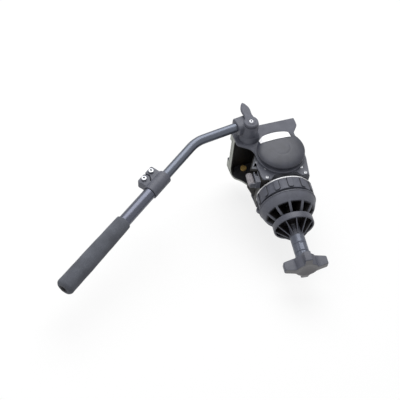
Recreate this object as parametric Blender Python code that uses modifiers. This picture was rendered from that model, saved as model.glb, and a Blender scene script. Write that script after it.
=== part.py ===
# Fluid video head for a 100 mm bowl, with a telescoping pan bar and a tie-down knob.
# Metres, +Z up along the pan axis, +X to the front, -Y the side with the domed cap.
# The origin is the centre of the half ball's sphere. The saddle is modelled as it was left: nose up a little.

import math

import bmesh
import bpy
from mathutils import Matrix, Vector

# Fits shared by all pieces
seat_gap = 0.0003
cut_overrun = 0.002

# Half ball and tie-down stud
bowl_radius = 0.0500
ball_top_depth = 0.0077
ball_lip_height = 0.0016
ball_lip_reach = 0.0008
band_depth = 0.0255
ball_wall = 0.0060
ball_roof = 0.0070
rib_count = 11
rib_thickness = 0.0042
rib_start_deg = -100.5
rib_bottom_depth = 0.0400
boss_radius = 0.0130
boss_bottom_depth = 0.0420
stud_radius = 0.0050
stud_socket_depth = 0.0280
stud_below_sleeve = 0.0010

# Clamp dish
dish_rim_radius = 0.0352
dish_top_depth = 0.0422
dish_rim_height = 0.0115
dish_wall = 0.0030
dish_floor_thickness = 0.0035
dish_hub_bottom_depth = 0.0720
fin_count = 11
fin_thickness = 0.0018
fin_start_deg = -92.6

# Tie-down knob, with the long sleeve above it
sleeve_radius = 0.0124
sleeve_length = 0.0417
sleeve_bottom_depth = dish_hub_bottom_depth + seat_gap + sleeve_length
stud_end_depth = sleeve_bottom_depth + stud_below_sleeve
groove_shares = (0.37, 0.76)
groove_width = 0.0010
groove_cut = 0.0007
knob_reach = 0.0368
knob_side_reach = 0.0295
knob_wing_width = 0.0120
knob_hub_radius = 0.0192
knob_height = 0.0217
knob_flat_radius = 0.0205
knob_wing_fall = 0.0037
knob_wing_rise = 0.0038
knob_fillet = 0.0190
knob_turn_deg = -2.0
knob_edge = 0.0012
knob_tip_share = 0.6
knob_dimple_radius = 0.0150
knob_dimple_depth = 0.0035
nut_radius = 0.0078
nut_height = 0.0100
nut_sides = 6

# Pan axis
spindle_radius = 0.0080
spindle_top_height = 0.0460
bearing_inner_radius = 0.0240
bearing_outer_radius = 0.0340
bearing_height = 0.0045
pan_cartridge_radius = 0.0290
pan_cartridge_height = 0.0160
pan_cartridge_floor = 0.0036

# Pan drag dial and the thin silver ring above it
dial_outer_radius = 0.0480
dial_wall = 0.0037
foot_radius = dial_outer_radius - dial_wall - seat_gap
foot_bottom_height = -0.0055
dial_bottom_height = -0.0025
dial_top_height = 0.0182
tab_count = 13
tab_start_deg = -88.4
tab_width = 0.0092
tab_reach = 0.0024
tab_corner = 0.0032
index_ring_lip = 0.0004
index_ring_outer_radius = dial_outer_radius + index_ring_lip
index_ring_height = 0.0022
neck_step = 0.0035
neck_radius = foot_radius - neck_step
neck_top_height = 0.0290

# Turning body, in side view
body_half_width = 0.0412
body_edge_round = 0.0025
body_bottom_front = 0.0415
body_bottom_rear = -0.0440
body_front_low = (0.0428, 0.0347)
body_front_mid = (0.0453, 0.0570)
body_front_high = (0.0455, 0.0840)
body_shoulder_front = (0.0400, 0.1040)
body_top_front = (0.0260, 0.1160)
body_top_rear = (-0.0240, 0.1160)
body_shoulder_rear = (-0.0420, 0.0840)
body_rear_low = (-0.0580, 0.0485)
body_rear_tuck = (-0.0440, 0.0450)
far_corner_start = 0.0060
far_corner_end = -0.0420
cover_thickness = 0.0030
cover_inset = 0.0060
cover_front_inset = 0.0013
cover_leg_bottom = 0.0222
cover_arch_height = 0.0300
cover_arch_half_width = 0.0270
cover_arch_flat_share = 0.7
cover_leg_outer = 0.0400
cover_screw_places = ((-0.0314, 0.0452), (0.0300, 0.0385), (0.0341, 0.0262), (-0.0334, 0.0262))
cover_screw_radius = 0.0033
cover_screw_socket = 0.0015

# Tilt axis
tilt_axis_height = 0.0700
rest_tilt_deg = 6.8
shaft_radius = 0.0100
web_half_width = 0.0120
tilt_bearing_outer = 0.0160
tilt_bearing_width = 0.0085
cartridge_radius = 0.0307
cartridge_clearance = 0.0052
cartridge_width = body_half_width - web_half_width - cartridge_clearance
spring_wire_radius = 0.0017
spring_turns = 4
spring_radius = 0.0237
spring_clearance = 0.0077
spring_width = body_half_width - web_half_width - spring_clearance

# Fittings on the body
lock_block_rear = -0.0530
lock_block_near = -0.0385
lock_block_far = -0.0200
lock_block_bottom = 0.0225
lock_block_top = 0.0446
lock_recess_height = 0.0092
lock_recess_depth = 0.0060
lock_recess_wall = 0.0020
lock_shelf_thickness = 0.0016
lock_wheel_radius = 0.0058
lock_wheel_top = 0.0466
lock_wheel_flutes = 10
lock_wheel_flute_radius = 0.0011
lock_pin_radius = 0.0015
bracket_thickness = 0.0018
level_side = 0.0350
level_radius = 0.0070
level_height = 0.0055
level_bottom = 0.0223
vial_radius = 0.0052
tilt_lock_hub_radius = 0.0070
tilt_lock_reach = 0.0340
tilt_lock_thickness = 0.0085
tilt_lock_heading_deg = -8.0
tilt_lock_clearance = 0.0012
tilt_lock_hub_from_deg = 40.0
tilt_lock_hub_to_deg = 320.0

# Saddle, measured from the tilt axis: forward and up
cheek_clearance = 0.0007
cheek_thickness = 0.0048
cheek_inner = body_half_width + seat_gap + cover_thickness + cheek_clearance
cheek_outer = cheek_inner + cheek_thickness
tilt_lock_stand_off = cheek_outer + tilt_lock_clearance
hub_radius = 0.0425
saddle_top = 0.0688
saddle_front = 0.0520
saddle_rear = -0.0665
platform_thickness = 0.0105
rear_wall_low = 0.0510
rear_wall_corner = 0.0100
rear_wall_thickness = 0.0045
rear_wall_inset = 0.0005
cheek_front_low = (0.0514, 0.0512)
cheek_front_tuck = (0.0398, 0.0372)
near_cheek_rear = ((-0.0668, 0.0480), (-0.0665, 0.0373), (-0.0625, 0.0334), (-0.0552, 0.0286), (-0.0468, 0.0226))
far_cheek_rear = ((-0.0668, 0.0480), (-0.0648, 0.0345), (-0.0545, 0.0268), (-0.0470, 0.0170))
cheek_arc_from_deg = 168.0
cheek_arc_to_deg = 380.0
saddle_edge = 0.0012
cap_radius = 0.0412
cap_stem_radius = 0.0370
cap_stem_rise = 0.0090
cap_rim_out = cheek_outer + cap_stem_rise
cap_rim_thickness = 0.0020
cap_crown_rise = 0.0072
cap_crown_out = cap_rim_out + cap_crown_rise
cap_wall = 0.0030
label_front = 0.0235
label_rear = -0.0300
label_low = 0.0188
label_crown = (-0.0060, 0.0346)
label_arch_bow = 5.2
label_reach = 0.0400
label_columns = 14
label_rows = 5
label_thickness = 0.0006
drag_dial_radius = 0.0400
drag_dial_width = 0.0135
drag_dial_scallops = 10
drag_dial_scallop_radius = 0.0050

# Rosettes for the pan bar, one on each cheek
rosette_place = (-0.0405, 0.0490)
rosette_base_radius = 0.0186
rosette_tip_radius = 0.0145
rosette_height = 0.0096
rosette_teeth = 24
rosette_tooth = 0.0012
bolt_radius = 0.0030
bolt_head_radius = 0.0058
bolt_head_height = 0.0033

# Camera plate in its dovetail channel
channel_half_width = 0.0270
dovetail_flare = 0.0025
channel_depth = 0.0068
plate_length = 0.1000
plate_thickness = 0.0084
plate_centre = -0.0070
plate_slot_length = 0.0440
camera_screw_radius = 0.0031
camera_screw_head_radius = 0.0085
camera_screw_head_height = 0.0034
camera_screw_rise = 0.0055
pad_thickness = 0.0012
pad_margin = 0.0030
pin_radius = 0.0022
pin_rise = 0.0030
pin_place = 0.0330
plate_lock_place = 0.0200
plate_lock_depth = 0.0056
plate_lock_cam_radius = 0.0040
plate_lock_hub_radius = 0.0065
plate_lock_reach = 0.0300
plate_lock_thickness = 0.0060
plate_lock_hub_from_deg = 220.0
plate_lock_hub_to_deg = 500.0
release_place = -0.0200
release_radius = 0.0035
release_proud = 0.0030
release_depth = 0.0090

# Pan bar, measured from the rosette axis; its tubes run behind and below it
bar_stand_off = 0.0220
bar_plane = -(cheek_outer + bar_stand_off)
bar_radius = 0.00825
bar_slope_deg = 16.0
bar_drop_deg = 45.0
bar_offset = 0.0116
bar_start = -0.0080
bar_vertex = 0.0990
bar_bend_radius = 0.0600
bar_end = 0.2550
block_radius = 0.0140
block_near_rise = 0.0118
block_near = bar_plane - block_near_rise
block_mouth_half_height = 0.0138
block_mouth_half_width = 0.0114
block_mouth_round = 0.0090
block_start = -0.0120
block_end = 0.0220
lever_hub_radius = 0.0125
lever_thickness = 0.0058
lever_reach = 0.0455
lever_waist = 0.0070
lever_wide = 0.0085
lever_tip = 0.0035
lever_lean_deg = 8.0
lever_hub_from_deg = 40.0
lever_hub_to_deg = 320.0
lever_waist_share = 0.36
lever_wide_share = 0.68
lever_screw_radius = 0.0038
lever_screw_height = 0.0016

# Collar, outer tube and grip, measured along the lower tube from the bend
collar_start = 0.0900
collar_length = 0.0410
collar_radius = 0.0123
collar_grip = 0.0160
lug_reach = 0.0270
lug_half_thickness = 0.0080
lug_slit = 0.0016
lug_inner_reach = 0.0045
collar_screw_radius = 0.0040
collar_screw_head = 0.0038
collar_screw_shank = 0.0024
collar_screw_offset = 0.0205
collar_screw_pitch = 0.0190
tube_radius = 0.0104
tube_end = 0.3380
grip_start = 0.2000
grip_end = 0.3440
grip_start_radius = 0.0126
grip_end_radius = 0.0144
grip_round = 0.0050
end_cap_proud = 0.0022

# Curve and turning resolution
ring_steps = 36
round_steps = 20
small_steps = 10


def start_empty_scene():
    for old in list(bpy.data.objects):
        bpy.data.objects.remove(old, do_unlink=True)


start_empty_scene()
parts = bpy.data.collections.new("fluid_video_head")
cutters = bpy.data.collections.new("cutters")
bpy.context.scene.collection.children.link(parts)
bpy.context.scene.collection.children.link(cutters)


def make_material(name, colour, roughness, metallic):
    finish = bpy.data.materials.new(name)
    finish.use_nodes = True
    shader = finish.node_tree.nodes["Principled BSDF"]
    shader.inputs["Base Color"].default_value = (*colour, 1.0)
    shader.inputs["Roughness"].default_value = roughness
    shader.inputs["Metallic"].default_value = metallic
    finish.diffuse_color = (*colour, 1.0)
    return finish


painted = make_material("dark_grey_paint", (0.060, 0.062, 0.072), 0.50, 0.0)
plastic = make_material("black_plastic", (0.045, 0.046, 0.053), 0.55, 0.0)
anodised = make_material("black_anodised_tube", (0.090, 0.096, 0.115), 0.35, 0.8)
foam = make_material("black_foam", (0.040, 0.042, 0.050), 0.90, 0.0)
steel = make_material("zinc_plated_steel", (0.600, 0.600, 0.600), 0.30, 1.0)
brass = make_material("brass", (0.560, 0.400, 0.150), 0.35, 1.0)
label_white = make_material("white_label", (0.850, 0.850, 0.860), 0.60, 0.0)
rubber = make_material("black_rubber", (0.020, 0.020, 0.020), 0.80, 0.0)
vial_glass = make_material("level_glass", (0.500, 0.650, 0.200), 0.10, 0.0)

# Turns that bring a shape's own Z axis to the near side, to the far side and to the front
upright = (0.0, 0.0, 0.0)
to_near = (math.pi / 2, 0.0, 0.0)
to_far = (-math.pi / 2, 0.0, 0.0)
to_front = (math.pi / 2, 0.0, math.pi / 2)


def add_piece(name, mesh, finish, parent=None, place=(0.0, 0.0, 0.0), turn=upright):
    piece = bpy.data.objects.new(name, mesh)
    mesh.materials.append(finish)
    parts.objects.link(piece)
    piece.parent = parent
    piece.location = place
    piece.rotation_euler = turn
    return piece


def as_tool(piece):
    parts.objects.unlink(piece)
    cutters.objects.link(piece)
    piece.hide_render = True
    piece.display_type = "WIRE"
    return piece


def combine(piece, tool, operation):
    as_tool(tool)
    change = piece.modifiers.new(operation.lower() + "_" + tool.name, "BOOLEAN")
    change.operation = operation
    change.object = tool
    return piece


def cut(piece, *tools):
    for tool in tools:
        combine(piece, tool, "DIFFERENCE")


def join(piece, *tools):
    for tool in tools:
        combine(piece, tool, "UNION")


def turned(name, profile, finish, steps=round_steps, parent=None, place=(0.0, 0.0, 0.0), turn=upright):
    """A turned piece. The profile lists radius and height, clockwise from its upper inner end."""
    mesh = bpy.data.meshes.new(name)
    points = [(radius, 0.0, height) for radius, height in profile]
    lines = [(i, i + 1) for i in range(len(points) - 1)]
    if profile[0][0] > 0.0 or profile[-1][0] > 0.0:
        lines.append((len(points) - 1, 0))
    mesh.from_pydata(points, lines, [])
    piece = add_piece(name, mesh, finish, parent, place, turn)
    screw = piece.modifiers.new("turned", "SCREW")
    screw.axis = "Z"
    screw.steps = steps
    screw.render_steps = steps
    screw.use_merge_vertices = True
    screw.merge_threshold = 0.00001
    return piece


def rod(name, radius, bottom, top, finish, steps=small_steps, parent=None, place=(0.0, 0.0, 0.0), turn=upright):
    profile = [(0.0, top), (radius, top), (radius, bottom), (0.0, bottom)]
    return turned(name, profile, finish, steps, parent, place, turn)


def sleeve(name, inner, outer, bottom, top, finish, steps=round_steps, parent=None, place=(0.0, 0.0, 0.0),
           turn=upright):
    profile = [(inner, top), (outer, top), (outer, bottom), (inner, bottom)]
    return turned(name, profile, finish, steps, parent, place, turn)


def mesh_from_curve(name, curve):
    guide = bpy.data.objects.new(name + "_guide", curve)
    cutters.objects.link(guide)
    bpy.context.view_layer.update()
    depsgraph = bpy.context.evaluated_depsgraph_get()
    mesh = bpy.data.meshes.new_from_object(guide.evaluated_get(depsgraph))
    bpy.data.objects.remove(guide, do_unlink=True)
    shape = bmesh.new()
    shape.from_mesh(mesh)
    bmesh.ops.remove_doubles(shape, verts=shape.verts, dist=0.000001)
    bmesh.ops.recalc_face_normals(shape, faces=shape.faces)
    shape.to_mesh(mesh)
    shape.free()
    mesh.materials.clear()
    return mesh


def plate(name, outline, thickness, finish, parent=None, place=(0.0, 0.0, 0.0), turn=upright, edge=0.0, holes=()):
    """A flat piece cut to an outline, its edges chamfered by the given amount, centred on its own plane."""
    curve = bpy.data.curves.new(name, "CURVE")
    curve.dimensions = "2D"
    curve.fill_mode = "BOTH"
    curve.extrude = thickness / 2 - edge
    curve.bevel_depth = edge
    curve.offset = -edge
    curve.bevel_resolution = 0
    for loop in (outline, *holes):
        spline = curve.splines.new("POLY")
        spline.points.add(len(loop) - 1)
        for point, (across, up) in zip(spline.points, loop):
            point.co = (across, up, 0.0, 1.0)
        spline.use_cyclic_u = True
    return add_piece(name, mesh_from_curve(name, curve), finish, parent, place, turn)


def pipe(name, points, radius, finish, parent=None, place=(0.0, 0.0, 0.0), resolution=4):
    """A round bar that follows a list of points."""
    curve = bpy.data.curves.new(name, "CURVE")
    curve.dimensions = "3D"
    curve.bevel_depth = radius
    curve.bevel_resolution = resolution
    curve.use_fill_caps = True
    spline = curve.splines.new("POLY")
    spline.points.add(len(points) - 1)
    for point, co in zip(spline.points, points):
        point.co = (*co, 1.0)
    return add_piece(name, mesh_from_curve(name, curve), finish, parent, place)


def block(name, low, high, finish, parent=None, edge=0.0):
    """A box between two corners, its edges chamfered by the given amount."""
    shape = bmesh.new()
    bmesh.ops.create_cube(shape, size=1.0)
    size = Vector(high) - Vector(low)
    middle = (Vector(high) + Vector(low)) / 2
    bmesh.ops.transform(shape, matrix=Matrix.Translation(middle) @ Matrix.Diagonal((*size, 1.0)), verts=shape.verts)
    mesh = bpy.data.meshes.new(name)
    shape.to_mesh(mesh)
    shape.free()
    piece = add_piece(name, mesh, finish, parent)
    if edge > 0.0:
        bevel = piece.modifiers.new("edges", "BEVEL")
        bevel.width = edge
        bevel.segments = 1
    return piece


def arc(centre, radius, start_deg, end_deg, count):
    """Points on a circle from one angle to another, both ends included."""
    points = []
    for i in range(count):
        angle = math.radians(start_deg + (end_deg - start_deg) * i / (count - 1))
        points.append((centre[0] + radius * math.cos(angle), centre[1] + radius * math.sin(angle)))
    return points


def rounded_box_outline(low, high, radius, steps=3):
    """A rectangle with round corners, counter-clockwise."""
    left, bottom = low[0] + radius, low[1] + radius
    right, top = high[0] - radius, high[1] - radius
    return (arc((right, bottom), radius, -90, 0, steps) + arc((right, top), radius, 0, 90, steps)
            + arc((left, top), radius, 90, 180, steps) + arc((left, bottom), radius, 180, 270, steps))


def along(angle_deg, distance, aside=0.0):
    """A point at a distance in a direction, and a step to the left of it."""
    angle = math.radians(angle_deg)
    return (distance * math.cos(angle) - aside * math.sin(angle), distance * math.sin(angle) + aside * math.cos(angle))


# Half ball: a domed skirt under a thick roof, with ribs from the boss to the sphere and open windows between

def sphere_radius_at(depth):
    return math.sqrt(bowl_radius ** 2 - depth ** 2)


def sphere_profile(first_depth, last_depth, count):
    points = []
    for i in range(count):
        depth = first_depth + (last_depth - first_depth) * i / (count - 1)
        points.append((sphere_radius_at(depth), -depth))
    return points


def make_half_ball():
    lip_radius = sphere_radius_at(ball_top_depth) + ball_lip_reach
    spindle_floor = boss_bottom_depth - stud_socket_depth + ball_roof
    stud_roof = boss_bottom_depth - stud_socket_depth + ball_roof + ball_wall
    profile = [(0.0, -spindle_floor), (spindle_radius + seat_gap, -spindle_floor),
               (spindle_radius + seat_gap, -ball_top_depth), (lip_radius, -ball_top_depth),
               (lip_radius, -ball_top_depth - ball_lip_height)]
    profile += sphere_profile(ball_top_depth + ball_lip_height, band_depth, 4)
    inner = sphere_radius_at(band_depth) - ball_wall
    profile += [(inner, -band_depth), (inner, -ball_top_depth - ball_roof), (boss_radius, -ball_top_depth - ball_roof),
                (boss_radius, -boss_bottom_depth), (stud_radius + seat_gap, -boss_bottom_depth),
                (stud_radius + seat_gap, -stud_roof), (0.0, -stud_roof)]
    ball = turned("half_ball", profile, painted, rib_count * 3)
    skin = sphere_profile(band_depth - cut_overrun, rib_bottom_depth, 4)
    outline = [(boss_radius - cut_overrun, -ball_top_depth - ball_roof + cut_overrun),
               (skin[0][0] - ball_wall + cut_overrun, -ball_top_depth - ball_roof + cut_overrun),
               (skin[0][0] - ball_wall + cut_overrun, -band_depth + cut_overrun)]
    outline += skin
    outline += [(boss_radius - cut_overrun, -rib_bottom_depth)]
    for i in range(rib_count):
        heading = math.radians(rib_start_deg + i * 360.0 / rib_count)
        rib = plate("ball_rib_%d" % i, outline, rib_thickness, painted, turn=(math.pi / 2, 0.0, heading))
        join(ball, rib)
    return ball


make_half_ball()
stud_top = boss_bottom_depth - stud_socket_depth + ball_roof + ball_wall + seat_gap
rod("tie_down_stud", stud_radius, -stud_end_depth, -stud_top, steel)

# Pan spindle, its thrust bearing and the drag cartridge that it holds still
foot_web_bottom = -ball_top_depth + seat_gap + bearing_height + seat_gap
spindle_bottom = -(boss_bottom_depth - stud_socket_depth + ball_roof) + seat_gap
turned("pan_spindle", [(0.0, spindle_top_height), (spindle_radius, spindle_top_height),
                       (spindle_radius, spindle_bottom), (0.0, spindle_bottom)], steel, round_steps)
sleeve("pan_bearing", bearing_inner_radius, bearing_outer_radius, -ball_top_depth + seat_gap,
       -ball_top_depth + seat_gap + bearing_height, steel, ring_steps)
sleeve("pan_drag_cartridge", spindle_radius + seat_gap, pan_cartridge_radius, pan_cartridge_floor + seat_gap,
       pan_cartridge_floor + pan_cartridge_height, painted, ring_steps)


# Pan drag dial: a plain ring with thirteen raised grips, round at their lower end

def make_pan_drag_ring():
    ring = sleeve("pan_drag_ring", foot_radius + seat_gap, dial_outer_radius, dial_bottom_height, dial_top_height,
                  plastic, tab_count * 3)
    height = dial_top_height - dial_bottom_height - seat_gap
    low = (-tab_width / 2, dial_bottom_height + seat_gap)
    high = (tab_width / 2, dial_bottom_height + height)
    outline = ([(high[0], high[1]), (low[0], high[1])] + arc((low[0] + tab_corner, low[1] + tab_corner), tab_corner,
               180, 270, 4) + arc((high[0] - tab_corner, low[1] + tab_corner), tab_corner, 270, 360, 4))
    thickness = tab_reach + (dial_outer_radius - foot_radius) / 2
    centre = dial_outer_radius + tab_reach - thickness / 2
    for i in range(tab_count):
        angle = math.radians(tab_start_deg + i * 360.0 / tab_count)
        place = (centre * math.cos(angle), centre * math.sin(angle), 0.0)
        tab = plate("dial_tab_%d" % i, outline, thickness, plastic, place=place,
                    turn=(math.pi / 2, 0.0, angle + math.pi / 2))
        join(ring, tab)
    return ring


make_pan_drag_ring()
index_bottom = dial_top_height + seat_gap
index_top = index_bottom + index_ring_height
sleeve("pan_index_ring", foot_radius + seat_gap, index_ring_outer_radius, index_bottom, index_top, steel, ring_steps)


# Turning body: a round foot and neck under a casting that fills the saddle

def body_outline():
    legs_front = [(cover_arch_half_width, cover_leg_bottom), (body_bottom_front, cover_leg_bottom)]
    legs_rear = [(body_bottom_rear, cover_leg_bottom), (-cover_arch_half_width, cover_leg_bottom)]
    flat = cover_arch_half_width * cover_arch_flat_share
    arch_top = [(-flat, cover_arch_height), (flat, cover_arch_height)]
    return (legs_front + [body_front_low, body_front_mid, body_front_high, body_shoulder_front, body_top_front,
                          body_top_rear, body_shoulder_rear, body_rear_low, body_rear_tuck] + legs_rear + arch_top)


def make_body_housing():
    housing = plate("body_housing", body_outline(), 2 * body_half_width, painted, turn=to_near, edge=body_edge_round)
    foot_profile = [(spindle_radius + seat_gap, pan_cartridge_floor), (spindle_radius + seat_gap, foot_web_bottom),
                    (bearing_outer_radius + seat_gap, foot_web_bottom),
                    (bearing_outer_radius + seat_gap, foot_bottom_height), (foot_radius, foot_bottom_height),
                    (foot_radius, index_top + seat_gap), (neck_radius, index_top + seat_gap),
                    (neck_radius, neck_top_height + body_edge_round + cut_overrun)]
    foot_profile.reverse()
    foot_profile = [(0.0, neck_top_height + body_edge_round + cut_overrun)] + foot_profile
    foot_profile += [(0.0, pan_cartridge_floor)]
    foot = turned("body_foot", foot_profile, painted, ring_steps)
    join(housing, foot)
    cavity_top = pan_cartridge_floor + pan_cartridge_height + seat_gap
    cavity = turned("pan_cavity", [(0.0, spindle_top_height + seat_gap),
                                   (spindle_radius + seat_gap, spindle_top_height + seat_gap),
                                   (spindle_radius + seat_gap, cavity_top),
                                   (pan_cartridge_radius + seat_gap, cavity_top),
                                   (pan_cartridge_radius + seat_gap, pan_cartridge_floor),
                                   (spindle_radius + seat_gap, pan_cartridge_floor),
                                   (spindle_radius + seat_gap, foot_web_bottom - cut_overrun),
                                   (0.0, foot_web_bottom - cut_overrun)], painted, ring_steps)
    axis = (0.0, 0.0, tilt_axis_height)
    reach = body_half_width + cut_overrun
    near_radius = cartridge_radius + seat_gap
    web_radius = tilt_bearing_outer + seat_gap
    far_radius = spring_radius + spring_wire_radius + seat_gap
    tilt_bore = turned("tilt_bore", [(0.0, reach), (near_radius, reach), (near_radius, web_half_width),
                                     (web_radius, web_half_width), (web_radius, -web_half_width),
                                     (far_radius, -web_half_width), (far_radius, -reach), (0.0, -reach)], painted,
                       round_steps, place=axis, turn=to_near)
    cut(housing, cavity, tilt_bore)
    lever_bore = rod("lever_bore", lock_pin_radius * 2 + seat_gap, body_half_width - tilt_lock_thickness, reach,
                     painted, small_steps, place=(tilt_lock_place[0], 0.0, tilt_lock_place[1]), turn=to_far)
    cut(housing, lever_bore)
    corner_far = body_half_width + cut_overrun
    corner_height = body_shoulder_rear[1] - cover_leg_bottom
    corner = plate("far_rear_corner", [(body_rear_low[0] - cut_overrun, far_corner_start), (far_corner_end, corner_far),
                                       (body_rear_low[0] - cut_overrun, corner_far)], 2 * corner_height, painted,
                   place=(0.0, 0.0, cover_leg_bottom + corner_height / 2))
    cut(housing, corner)
    return housing


def cover_outline():
    shoulder_rear = (body_shoulder_rear[0] + cover_inset, body_shoulder_rear[1])
    low_rear = (body_rear_low[0] + 2 * cover_inset, body_rear_low[1] + cover_inset / 2)
    flat = cover_arch_half_width * cover_arch_flat_share
    arch = [(-cover_arch_half_width, cover_leg_bottom), (-flat, cover_arch_height), (flat, cover_arch_height),
            (cover_arch_half_width, cover_leg_bottom)]
    return ([(-cover_leg_outer, cover_leg_bottom)] + arch
            + [(cover_leg_outer, cover_leg_bottom), (body_front_low[0] - cover_front_inset, body_front_low[1]),
               (body_front_mid[0] - cover_front_inset, body_front_mid[1]),
               (body_front_mid[0] - cover_front_inset, body_front_high[1]), (body_top_front[0], body_shoulder_front[1]),
               (body_top_rear[0], body_shoulder_front[1]), shoulder_rear, low_rear,
               (body_bottom_rear, body_rear_tuck[1] - cover_inset), (-cover_leg_outer - cover_inset / 2, neck_top_height)])


def make_cover(name, side, turn, places):
    middle = side * (body_half_width + seat_gap + cover_thickness / 2)
    cover = plate(name, cover_outline(), cover_thickness, painted, place=(0.0, middle, 0.0), turn=to_near,
                  edge=saddle_edge / 2)
    reach = body_half_width + cover_thickness + cut_overrun
    cut(cover, rod(name + "_shaft_hole", shaft_radius + 2 * seat_gap, body_half_width - cut_overrun, reach, painted,
                   round_steps, place=(0.0, 0.0, tilt_axis_height), turn=turn))
    face = body_half_width + seat_gap + cover_thickness
    for i, place in enumerate(places):
        hole = rod(name + "_screw_hole_%d" % i, cover_screw_radius + seat_gap, body_half_width - cut_overrun, reach,
                   painted, small_steps, place=(place[0], 0.0, place[1]), turn=turn)
        cut(cover, hole)
        turned(name + "_screw_%d" % (i + 1), [
            (0.0, face - cover_screw_socket), (cover_screw_socket, face - cover_screw_socket),
            (cover_screw_socket, face + seat_gap), (cover_screw_radius, face + seat_gap),
            (cover_screw_radius, body_half_width + seat_gap), (0.0, body_half_width + seat_gap)], steel, small_steps,
            place=(place[0], 0.0, place[1]), turn=turn)
    return cover


# On the far side the tilt lock takes the place of the last screw
tilt_lock_place = cover_screw_places[-1]
make_body_housing()
make_cover("near_side_cover", -1, to_near, cover_screw_places)
far_cover = make_cover("far_side_cover", 1, to_far, cover_screw_places[:-1])
cut(far_cover, rod("far_cover_lever_hole", lock_pin_radius * 2 + seat_gap, body_half_width - cut_overrun,
                   body_half_width + cover_thickness + cut_overrun, painted, small_steps,
                   place=(tilt_lock_place[0], 0.0, tilt_lock_place[1]), turn=to_far))


# Fittings low on the rear of the body: pan lock, hooked bracket, level and tilt lock

def fluted_outline(radius, flutes, flute_radius):
    """A circle with round hollows cut into its rim."""
    points = []
    for i in range(flutes):
        middle = i * 360.0 / flutes
        land = 360.0 / flutes / 4
        points.append(along(middle - land, radius))
        points.append(along(middle + land, radius))
        points.append(along(middle + 2 * land, radius - flute_radius))
    return points


def make_pan_lock():
    wheel_centre = (lock_block_rear - lock_wheel_radius - 2 * seat_gap, (lock_block_near + lock_block_far) / 2)
    shelf_top = lock_block_bottom + lock_shelf_thickness
    pin_top = shelf_top + 2 * lock_pin_radius
    housing = block("pan_lock_housing", (lock_block_rear, lock_block_near, lock_block_bottom),
                    (body_bottom_rear - seat_gap, lock_block_far, lock_block_top), painted, edge=saddle_edge / 2)
    recess = block("lock_recess", (lock_block_rear + lock_recess_wall, lock_block_near - cut_overrun,
                                   lock_block_top - lock_recess_height),
                   (body_bottom_rear - lock_recess_wall, lock_block_near + lock_recess_depth,
                    lock_block_top + cut_overrun), painted)
    shelf_low = (wheel_centre[0] - lock_wheel_radius / 2, wheel_centre[1] - lock_wheel_radius,
                 lock_block_bottom + seat_gap)
    shelf_high = (lock_block_rear + lock_recess_wall, wheel_centre[1] + lock_wheel_radius, shelf_top)
    join(housing, block("lock_shelf", shelf_low, shelf_high, painted))
    cut(housing, recess)
    pin = rod("lock_pin", lock_pin_radius, shelf_top - lock_shelf_thickness / 2, pin_top, painted, small_steps,
              place=(*wheel_centre, 0.0))
    join(housing, pin)
    wheel_height = lock_wheel_top - shelf_top - seat_gap
    wheel = plate("pan_lock_wheel", fluted_outline(lock_wheel_radius, lock_wheel_flutes, lock_wheel_flute_radius),
                  wheel_height, plastic, place=(*wheel_centre, shelf_top + seat_gap + wheel_height / 2),
                  edge=saddle_edge / 2)
    cut(wheel, rod("wheel_bore", lock_pin_radius + seat_gap, shelf_top - cut_overrun, pin_top + seat_gap, plastic,
                   small_steps, place=(*wheel_centre, 0.0)))


def make_rear_bracket():
    rear = body_shoulder_rear[0]
    low = body_rear_low[1]
    outline = [(body_rear_low[0] + cover_inset, low + cover_inset), (body_rear_low[0] + 2 * cover_inset - bracket_thickness,
               low + cover_inset), (rear - cover_inset / 2, low + 3 * cover_inset), (rear + seat_gap - cover_inset / 2,
               low + 4 * cover_inset), (rear - cover_inset, low + 4 * cover_inset), (rear - cover_inset,
               low + 3 * cover_inset)]
    plate("rear_bracket", outline, bracket_thickness, painted,
          place=(0.0, -body_half_width - seat_gap - bracket_thickness / 2, 0.0), turn=to_near)


def make_level():
    arm_top = level_bottom + level_height / 3 - seat_gap
    lean = (body_front_low[0] - body_bottom_front) / (body_front_low[1] - cover_leg_bottom)
    arm_start = body_bottom_front + lean * (arm_top - cover_leg_bottom) + seat_gap
    centre = (arm_start + 2 * seat_gap + level_radius, level_side)
    holder = turned("level_holder", [
        (vial_radius + seat_gap, level_bottom + level_height), (level_radius, level_bottom + level_height),
        (level_radius, level_bottom), (0.0, level_bottom), (0.0, level_bottom + level_height / 3),
        (vial_radius + seat_gap, level_bottom + level_height / 3)], painted, round_steps, place=(*centre, 0.0))
    arm_low = (arm_start, centre[1] - level_radius / 2, level_bottom + seat_gap)
    arm_high = (centre[0], centre[1] + level_radius / 2, arm_top)
    join(holder, block("level_arm", arm_low, arm_high, painted))
    rod("level_vial", vial_radius, level_bottom + level_height / 3 + seat_gap, level_bottom + level_height - seat_gap,
        vial_glass, small_steps, place=(*centre, 0.0))


def make_tilt_lock_lever():
    hub = tilt_lock_place
    tip_angle = tilt_lock_heading_deg
    half = tilt_lock_hub_radius / 2
    outline = [along(tip_angle, tilt_lock_reach, -half), along(tip_angle, tilt_lock_reach, half)]
    outline += arc((0.0, 0.0), tilt_lock_hub_radius, tip_angle + tilt_lock_hub_from_deg,
                   tip_angle + tilt_lock_hub_to_deg, 10)
    lever = plate("tilt_lock_lever", outline, tilt_lock_thickness, plastic,
                  place=(hub[0], tilt_lock_stand_off + tilt_lock_thickness / 2, hub[1]), turn=to_near,
                  edge=saddle_edge)
    shaft = rod("lever_shaft", 2 * lock_pin_radius, body_half_width - tilt_lock_thickness + seat_gap,
                tilt_lock_stand_off + saddle_edge, plastic, small_steps, place=(hub[0], 0.0, hub[1]), turn=to_far)
    join(lever, shaft)


make_pan_lock()
make_rear_bracket()
make_level()
make_tilt_lock_lever()


# Tilt axis: shaft, bearings, drag cartridge and counterbalance spring

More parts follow.
